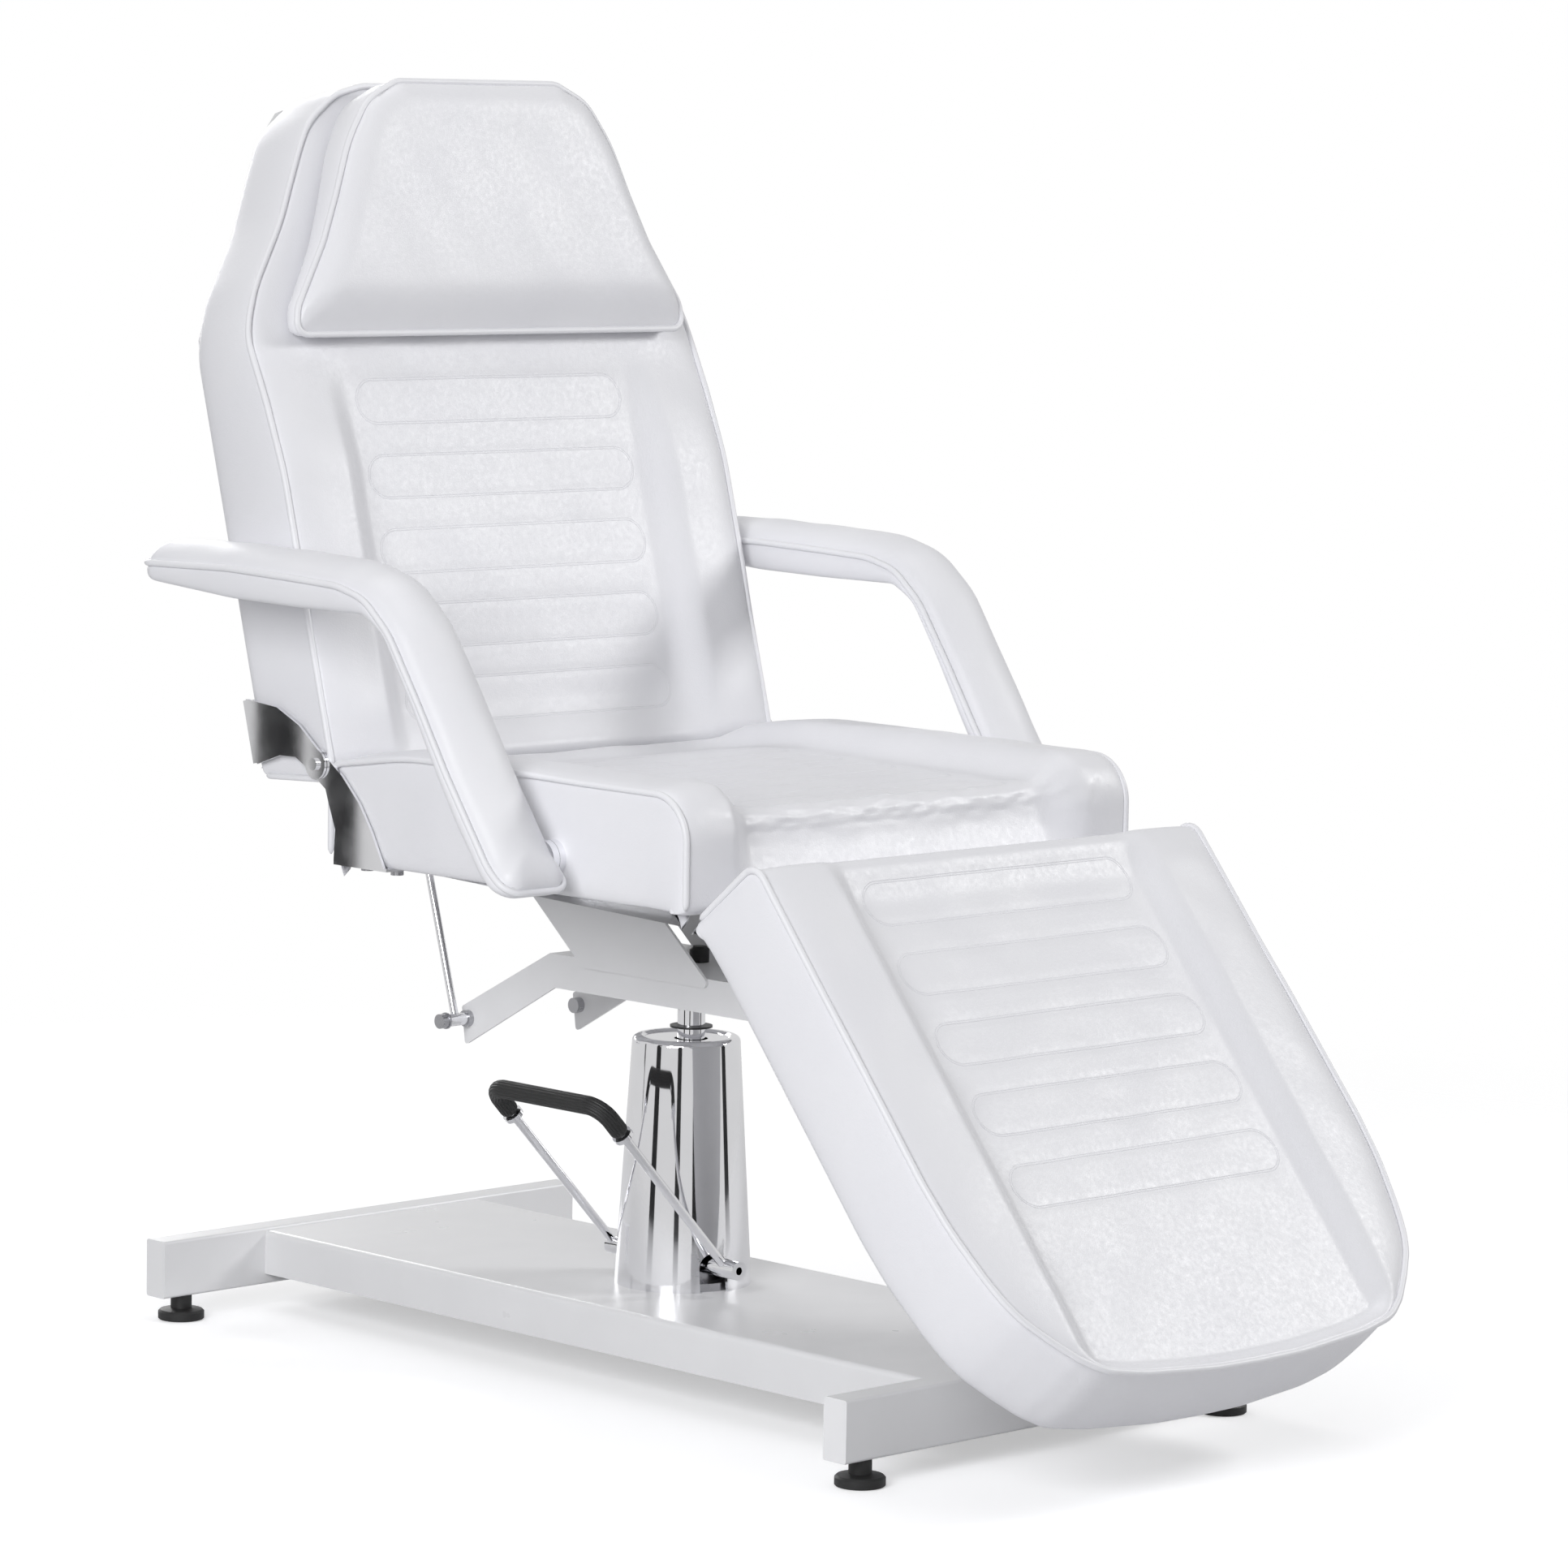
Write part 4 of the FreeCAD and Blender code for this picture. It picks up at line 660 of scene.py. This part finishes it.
SEAT_OVAL_S = [float(seat_on(y)) for y in SEAT_OVALS]
SEAT_BUMPS = waves(11, 14, 60, 160)
SEAT_CREASES = waves(12, 16, 22, 60)


def seat_lift(x, s, v, margin):
    """Crowned bolsters round a sunk middle, with soft folds where the front rolls over."""
    front = ease(s, 20, 95)
    rear = ease(SEAT_LINE.length - s, 100, 135)
    upright = 0.4 + 0.6 * ease(s, 90, 140)
    crown = 7.5 * rise(margin, 42) * front * rear * upright + 1.5 * rise(margin, 16)
    inner = 1 - ease(np.abs(x), 196, 244)
    sunk = inner * front * rear * (24 + 5 * ease(-v, -60, 240))
    puff = oval_dips(x, s, SEAT_OVAL_S) * inner
    roll = ease(s, 60, 115) * (1 - ease(s, 135, 230))
    folds = SEAT_CREASES(x, s * 1.6) * 0.55 * roll * ease(margin, 15, 60)
    return crown - sunk + puff + folds + SEAT_BUMPS(x, s) * 0.5 * rise(margin, 50) * front


def seat_base(x, s, nx, ns):
    low, high = seat_on(SEAT_FRONT_JOIN), seat_on(SEAT_REAR_JOIN)
    front = SEAT_FRONT + (s / low) * (SEAT_FRONT_JOIN - SEAT_FRONT)
    rear = SEAT_REAR_JOIN + (s - high) / (SEAT_LINE.length - high) * (SEAT_REAR - SEAT_REAR_JOIN)
    y = np.where(s < low, front, np.where(s > high, rear, SEAT_LINE.at(s)[0]))
    return np.stack([np.sign(x) * SEAT_FOOT_X, y, np.full(len(x), SEAT_FOOT_Z)], 1)


def seat_full(x, s, top):
    """Side panels stay flat under the hinge plates and swell in front of them."""
    return 0.15 + 0.75 * (1 - ease(top[:, 1], 40, 110))


def build_seat():
    half = Line([(0, 0, 0), (SEAT_PIPE_X, 0, 0), (SEAT_PIPE_X, SEAT_LINE.length, 0),
                 (0, SEAT_LINE.length, 0)])
    pad = Pad("seat_pad", "seat", SEAT_LINE, half,
              (SEAT_PIPE_X, SEAT_PIPE_X + SEAT_LINE.length), seat_lift, seat_base,
              piped_end=False, fullness=seat_full)
    own(pad.build(), "seat_frame", "seat_cushion", fill=0.85)
    own(pad.piping(), "seat_frame")
    own(pad.ovals(SEAT_OVAL_S), "seat_frame")


# Backrest: the sheet wraps under its lower end and is piped round its top.
# BOARD_SIDE is the level of a leaning pad's side panels at their foot, just past the board.
BOARD_SIDE = -0.6
BACK_LINE = Line([(-60, 3, 0), (-60, BOARD_SIDE, 1), (-78, BOARD_SIDE, 6), (-102.5, 107.5, 17),
                  (207, 107.5, 300), (282, 98, 300), (346, 86, 120), (503, 86, 300), (559, 88, 300),
                  (620, 96, 0)])
BACK_FRONT = 140
BACK_PIPE_X, BACK_BOW = 299, 128
BACK_FOOT, BACK_JOIN = -70, 20
BACK_OVALS = [280 - OVAL_STEP * k for k in range(5)]
BACK_OVAL_S = [float(length_at(BACK_LINE, e, BACK_FRONT)) for e in BACK_OVALS]
BACK_BUMPS = waves(21, 14, 70, 170)


def back_lift(x, s, v, margin):
    """Bolsters that rise over the piping and end under the pillow, round a flat panel."""
    low = ease(s, 95, 190)
    pipe_level = BACK_LINE.at(s)[1]
    level = 98 + 18 * (1 - ease(v, 200, 330)) + 2.5 * (1 - ease(v, 330, 380))
    crest = np.where(s < BACK_FRONT, 8.0, np.clip(level - pipe_level, 3, 16))
    crown = crest * rise(margin, 46) * low + 1.5 * rise(margin, 16) * (1 - low)
    inner = (1 - ease(np.abs(x), 186, 228)) * (1 - ease(v, 290, 345))
    panel = np.where(s < BACK_FRONT, -8.0, 96 - pipe_level)
    lift = crown + (panel - crown) * inner * low * rise(margin, 30)
    puff = oval_dips(x, s, BACK_OVAL_S) * inner
    return lift + puff + BACK_BUMPS(x, s) * 0.5 * rise(margin, 50) * low


def back_base(x, s, nx, ns):
    join = float(length_at(BACK_LINE, BACK_JOIN, BACK_FRONT))
    e = np.where(s < join, BACK_FOOT + s / join * (BACK_JOIN - BACK_FOOT), BACK_LINE.at(s)[0])
    flare = 11 * np.clip(ns, 0, 1) ** 2
    return np.stack([x + np.sign(x) * np.abs(nx), e + flare, np.full(len(x), BOARD_SIDE)], 1)


def back_full(x, s, top):
    """Side panels stay flat beside the hinge plates."""
    return 0.1 + 1.0 * ease(top[:, 1], 20, 110)


def build_back():
    half = half_outline(BACK_LINE, [
        (0, None, 0), (BACK_PIPE_X, None, 0), (BACK_PIPE_X, 356, 110), (279, 401, 160), (232, 468, 300),
        (197, 536, 200), (178, 570, 80), (140, 598, 60), (105, 607, 60), (0, 607, 0)], BACK_FRONT)
    pad = Pad("backrest_pad", "back", BACK_LINE, half, (BACK_PIPE_X, half.length - BACK_BOW),
              back_lift, back_base, fullness=back_full)
    own(pad.build(), "backrest", "backrest_cushion", fill=0.85)
    own(pad.piping(), "backrest")
    own(pad.ovals(BACK_OVAL_S), "backrest")


# Leg rest: the sheet wraps over the knee end and is piped round the foot end.
LEG_LINE = Line([(20, 3, 0), (20, BOARD_SIDE, 1), (3.5, BOARD_SIDE, 7), (3.5, 102, 16),
                 (600, 102, 0)])
LEG_FRONT = 118
LEG_PIPE_X, LEG_BOW = 297, 200
LEG_FOOT, LEG_JOIN = 4, 120
LEG_OVALS = [55 + OVAL_STEP * k for k in range(5)]
LEG_OVAL_S = [float(length_at(LEG_LINE, d, LEG_FRONT)) for d in LEG_OVALS]
LEG_BUMPS = waves(31, 14, 60, 160)


def leg_lift(x, s, v, margin):
    """Bolsters round a sunk panel, flat where the knee end lies against the seat."""
    low = ease(s, 95, 165)
    crown = 9.0 * rise(margin, 62) * (0.1 + 0.9 * low)
    inner = (1 - ease(np.abs(x), 188, 220)) * low * ease(margin, 0, 16)
    lift = crown + (-9.0 - crown) * inner
    puff = oval_dips(x, s, LEG_OVAL_S) * inner
    return lift + puff + LEG_BUMPS(x, s) * 0.45 * rise(margin, 50) * low


def leg_base(x, s, nx, ns):
    join = float(length_at(LEG_LINE, LEG_JOIN, LEG_FRONT))
    d = np.where(s < join, LEG_FOOT + s / join * (LEG_JOIN - LEG_FOOT), LEG_LINE.at(s)[0])
    flare = 5 * np.clip(ns, 0, 1) ** 2
    out = x + np.sign(x) * 1.5 * np.abs(nx)
    return np.stack([out, d + flare, np.full(len(x), BOARD_SIDE)], 1)


def build_leg():
    half = half_outline(LEG_LINE, [
        (0, None, 0), (LEG_PIPE_X, None, 0), (LEG_PIPE_X, 350, 300), (293, 400, 200), (282, 451, 200),
        (273, 480, 120), (262, 500, 60), (243, 522, 60), (220, 545, 60), (196, 561, 60),
        (150, 570, 200), (60, 578, 300), (0, 579, 0)], LEG_FRONT)
    pad = Pad("legrest_pad", "leg", LEG_LINE, half, (LEG_PIPE_X, half.length - LEG_BOW), leg_lift,
              leg_base)
    own(pad.build(), "legrest", "legrest_cushion", fill=0.85)
    own(pad.piping(), "legrest")
    own(pad.ovals(LEG_OVAL_S), "legrest")


# Head pillow: a wedge piped all round, with its face folded down along the lower edge.
PILLOW_BACK = 103.0
PILLOW_START, PILLOW_BOW = 257, 120
PILLOW_LINE = Line([(343, 117.7, 0), (600, 152.4, 0)])
PILLOW_BUMPS = waves(41, 12, 60, 150)


def pillow_lift(x, s, v, margin):
    """A face that rises from the lower edge to a soft fold and thins towards the top."""
    slope = np.clip(s / 42, 0, 3)
    fold = 22 * (1 - np.log1p(np.exp(-9 * (slope - 1))) / 9) + 0.2 - 6 * ease(s, 60, 240)
    edge = rise(margin, 30) ** 0.8
    return fold * edge + PILLOW_BUMPS(x, s) * 0.5 * edge


def pillow_base(x, s, nx, ns):
    e = PILLOW_LINE.at(s)[0]
    flare = np.where(ns < 0, 3 * ns * ns, 4 * np.clip(ns, 0, 1) ** 2)
    return np.stack([x, e + flare, np.full(len(x), PILLOW_BACK)], 1)


def build_pillow():
    half = half_outline(PILLOW_LINE, [
        (0, 347, 0), (262, 347, 20), (258, 372, 30), (249, 386, 50), (219, 435, 120),
        (197, 484, 200), (176, 537, 150), (148, 578, 50), (108, 597, 30), (0, 597, 0)])
    pad = Pad("head_pillow_pad", "back", PILLOW_LINE, half,
              (PILLOW_START, half.length - PILLOW_BOW), pillow_lift, pillow_base, piped_start=True)
    own(pad.build(), "headrest", "head_pillow", fill=0.9)
    own(pad.piping(), "headrest")


# Armrests: a bent pad with a domed top, piped round both sides and both ends.
ARM_MIDDLE, ARM_HALF = 359, 41
ARM_SEAM, ARM_BOW = ARM_HALF - 3, 33
ARM_LINE = Line([(-168, 524, 0), (-140, 545.5, 75), (-79, 629, 200), (-37, 693, 200),
                 (7, 756, 90), (44, 787, 60), (84, 797, 90), (156, 800, 200), (251, 803, 300),
                 (389, 800, 0)])
ARM_UNDER = Line([(-153, 519, 0), (-128, 538, 18), (-91, 586, 60), (-55, 642, 200), (-17, 706, 200),
                  (17, 757, 40), (48, 773, 30), (157, 773, 200), (252, 775, 200), (386, 785, 0)])
ARM_BUMPS = waves(51, 12, 50, 130)


def arm_lift(x, s, v, margin):
    """A dome from piping to piping."""
    dome = 25 * rise(margin, ARM_HALF) ** 0.9
    return dome + ARM_BUMPS(x, s) * 0.5 * rise(margin, ARM_HALF)


def arm_base(x, s, nx, ns):
    """The bent underside, walked at the same rate as the top."""
    under = s / ARM_LINE.length * ARM_UNDER.length
    y, z = ARM_UNDER.at(under)
    return np.stack([x * 0.97, y, z], 1)


class ArmPad(Pad):
    """An armrest's closed back follows its bent underside."""

    def tuck(self, foot):
        return np.zeros((len(foot), 3))

    def side_panel(self, order, outward):
        return super().side_panel(order, outward)[:-2]

    def closing(self, loop):
        rows, cols = self.x.shape
        points = to_chair(loop, self.frame, self.shift)
        left = list(range(rows))
        end = list(range(rows, rows + cols - 2))
        right = list(range(rows + cols - 2, 2 * rows + cols - 2))[::-1]
        start = list(range(2 * rows + cols - 2, len(points)))
        faces = [(left[k], right[k], right[k + 1], left[k + 1]) for k in range(rows - 1)]
        faces.append(tuple([left[-1]] + end + [right[-1]]))
        faces.append(tuple([right[0]] + start + [left[0]]))
        return [(points, faces)]


def build_arms():
    for side, sign in SIDES:
        end = ARM_LINE.length - 2
        half = Line([(0, 2, 0), (ARM_SEAM, 2, 26), (ARM_SEAM, end, ARM_SEAM - 1), (0, end, 0)])
        pad = ArmPad("armrest_%s_pad" % side, "seat", ARM_LINE, half,
                     (ARM_BOW, half.length - ARM_BOW), arm_lift, arm_base,
                     shift=sign * ARM_MIDDLE, piped_start=True, step=4)
        own(pad.build(), "armrest_" + side, "armrest_pad_" + side, fill=0.9)
        own(pad.piping(), "armrest_" + side)


# Pedal grip: a ribbed rubber sleeve round the pedal's bent bar.
PEDAL_X, PEDAL_Z, PEDAL_TILT = -15, 110, math.radians(226.3)
ARM_FRONT_Y, ARM_REAR_Y, PEDAL_REACH, PEDAL_BEND = -72, 90, 249, 31
GRIP_FROM, GRIP, RIB, RIBS, GRIP_STATIONS = 209, 9.4, 0.75, 18, 110


def build_grip():
    route = Line([(GRIP_FROM, ARM_FRONT_Y, 0), (PEDAL_REACH, ARM_FRONT_Y, PEDAL_BEND),
                  (PEDAL_REACH, ARM_REAR_Y, PEDAL_BEND), (GRIP_FROM, ARM_REAR_Y, 0)])
    s = np.linspace(0, route.length, GRIP_STATIONS)
    out, y = route.at(s)
    points = np.stack([PEDAL_X + out * math.cos(PEDAL_TILT), y,
                       PEDAL_Z - out * math.sin(PEDAL_TILT)], 1)

    def ribs(angle):
        return (GRIP - RIB * np.abs(np.sin(angle * RIBS / 2)) ** 3) * MM
    part = tube(points * MM, GRIP * MM, sides=RIBS * 8, section=ribs, taper=3)
    grip = mesh_object("pedal_rubber_grip", [part], FINISHES["black_rubber"])
    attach(grip, "pedal")
    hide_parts("pedal_grip")


# Studio: a pale floor that fades into white, soft lamps, a white surround.
# Metres; the floor glows by FLOOR_GLOW for the camera alone and is gone past FLOOR_FADE.
FLOOR_RADIUS, FLOOR_DROP, FLOOR_GLOW, FLOOR_FADE = 2.5, 0.0005, 0.42, (1.1, 2.4)
FLOOR_SIDES = 64
AMBIENT = 0.20
SEEN = (("Is Camera Ray", 1.0), ("Is Glossy Ray", 0.7), ("Is Transmission Ray", 1.0))
LAMP_AIM = (0.0, -0.1, 0.6)
# Place, azimuth in degrees, width and height of each card.
CARDS = (((-1.7, -1.15, 0.5), -58, 0.30, 1.6), ((-0.75, -1.9, 0.5), -22, 0.5, 1.6),
         ((1.3, -1.5, 0.6), 40, 0.35, 1.8), ((-1.9, 0.4, 0.5), -100, 0.35, 1.6),
         ((-1.32, 1.40, 0.40), 39.4, 0.045, 0.6), ((-1.27, 1.45, 0.46), 39.4, 0.058, 0.6))


def build_floor():
    """A flat disc on the ground that turns clear towards its rim."""
    material, tree, shader = new_material("studio_floor")
    tree.nodes.remove(shader)
    out = tree.nodes["Material Output"]
    diffuse = tree.nodes.new("ShaderNodeBsdfDiffuse")
    diffuse.inputs["Color"].default_value = (0.82, 0.82, 0.83, 1)
    glow = tree.nodes.new("ShaderNodeEmission")
    light = tree.nodes.new("ShaderNodeLightPath")
    level = tree.nodes.new("ShaderNodeMath")
    level.operation = "MULTIPLY"
    level.inputs[1].default_value = FLOOR_GLOW
    tree.links.new(light.outputs["Is Camera Ray"], level.inputs[0])
    tree.links.new(level.outputs["Value"], glow.inputs["Strength"])
    both = tree.nodes.new("ShaderNodeAddShader")
    tree.links.new(diffuse.outputs["BSDF"], both.inputs[0])
    tree.links.new(glow.outputs["Emission"], both.inputs[1])
    clear = tree.nodes.new("ShaderNodeBsdfTransparent")
    where = tree.nodes.new("ShaderNodeTexCoord")
    far = tree.nodes.new("ShaderNodeVectorMath")
    far.operation = "LENGTH"
    tree.links.new(where.outputs["Object"], far.inputs[0])
    fade = spread(tree, far.outputs["Value"], 0, 1, source=FLOOR_FADE)
    mix = tree.nodes.new("ShaderNodeMixShader")
    tree.links.new(fade, mix.inputs["Fac"])
    tree.links.new(both.outputs["Shader"], mix.inputs[1])
    tree.links.new(clear.outputs["BSDF"], mix.inputs[2])
    tree.links.new(mix.outputs["Shader"], out.inputs["Surface"])
    angle = np.linspace(0, 2 * math.pi, FLOOR_SIDES, endpoint=False)
    ring = np.stack([FLOOR_RADIUS * np.cos(angle), FLOOR_RADIUS * np.sin(angle),
                     np.full(FLOOR_SIDES, -FLOOR_DROP)], 1)
    floor = mesh_object("studio_floor", [(ring, [tuple(range(FLOOR_SIDES))])], material,
                        smooth=False)


def lamp(name, place, size, power, colour=(1, 1, 1)):
    data = bpy.data.lights.new(name, "AREA")
    data.shape = "RECTANGLE"
    data.size, data.size_y = size
    data.energy = power
    data.color = colour
    obj = bpy.data.objects.new(name, data)
    bpy.context.scene.collection.objects.link(obj)
    obj.location = place
    obj.rotation_mode = "QUATERNION"
    obj.rotation_quaternion = (Vector(LAMP_AIM) - Vector(place)).to_track_quat("-Z", "Y")


def build_world():
    """White surround, full to the camera and AMBIENT as light on the chair."""
    world = bpy.data.worlds.new("white_surround")
    bpy.context.scene.world = world
    world.use_nodes = True
    tree = world.node_tree
    shade = tree.nodes["Background"]
    shade.inputs["Color"].default_value = (1, 1, 1, 1)
    light = tree.nodes.new("ShaderNodeLightPath")
    level = None
    for name, strength in SEEN:
        share = tree.nodes.new("ShaderNodeMath")
        share.operation = "MULTIPLY"
        share.inputs[1].default_value = strength
        tree.links.new(light.outputs[name], share.inputs[0])
        most = tree.nodes.new("ShaderNodeMath")
        most.operation = "MAXIMUM"
        most.inputs[1].default_value = AMBIENT
        tree.links.new(share.outputs["Value"], most.inputs[0])
        if level is not None:
            tree.links.new(level, most.inputs[1])
        level = most.outputs["Value"]
    tree.links.new(level, shade.inputs["Strength"])


def build_lamps():
    lamp("key_lamp", (2.7, -2.0, 2.2), (0.8, 0.8), 50)
    lamp("fill_lamp", (-3.4, -1.6, 1.9), (2.0, 1.8), 106, (0.98, 0.985, 1.0))
    lamp("rear_lamp", (1.2, 3.6, 1.8), (1.8, 1.8), 45)
    lamp("top_lamp", (-0.2, 0.4, 3.4), (2.0, 2.0), 20)


def build_flags():
    """Dark cards that show only in reflections."""
    material, _, shader = new_material("dark_card")
    shader.inputs["Base Color"].default_value = (0.015, 0.015, 0.016, 1)
    shader.inputs["Roughness"].default_value = 0.9
    for k, (place, azimuth, wide, tall) in enumerate(CARDS, 1):
        a = math.radians(azimuth)
        run = np.array((math.cos(a), math.sin(a), 0)) * wide / 2
        up = np.array((0, 0, tall / 2))
        p = np.array(place)
        part = (np.array([p - run - up, p + run - up, p + run + up, p - run + up]), [(0, 1, 2, 3)])
        card = mesh_object("dark_card_%d" % k, [part], material, smooth=False)
        card.visible_camera = False
        card.visible_diffuse = False
        card.visible_shadow = False


make_camera()
finish_nodes()
build_seat()
build_back()
build_leg()
build_pillow()
build_arms()
build_grip()
build_floor()
build_world()
build_lamps()
build_flags()

bpy.context.scene.view_settings.view_transform = "Standard"
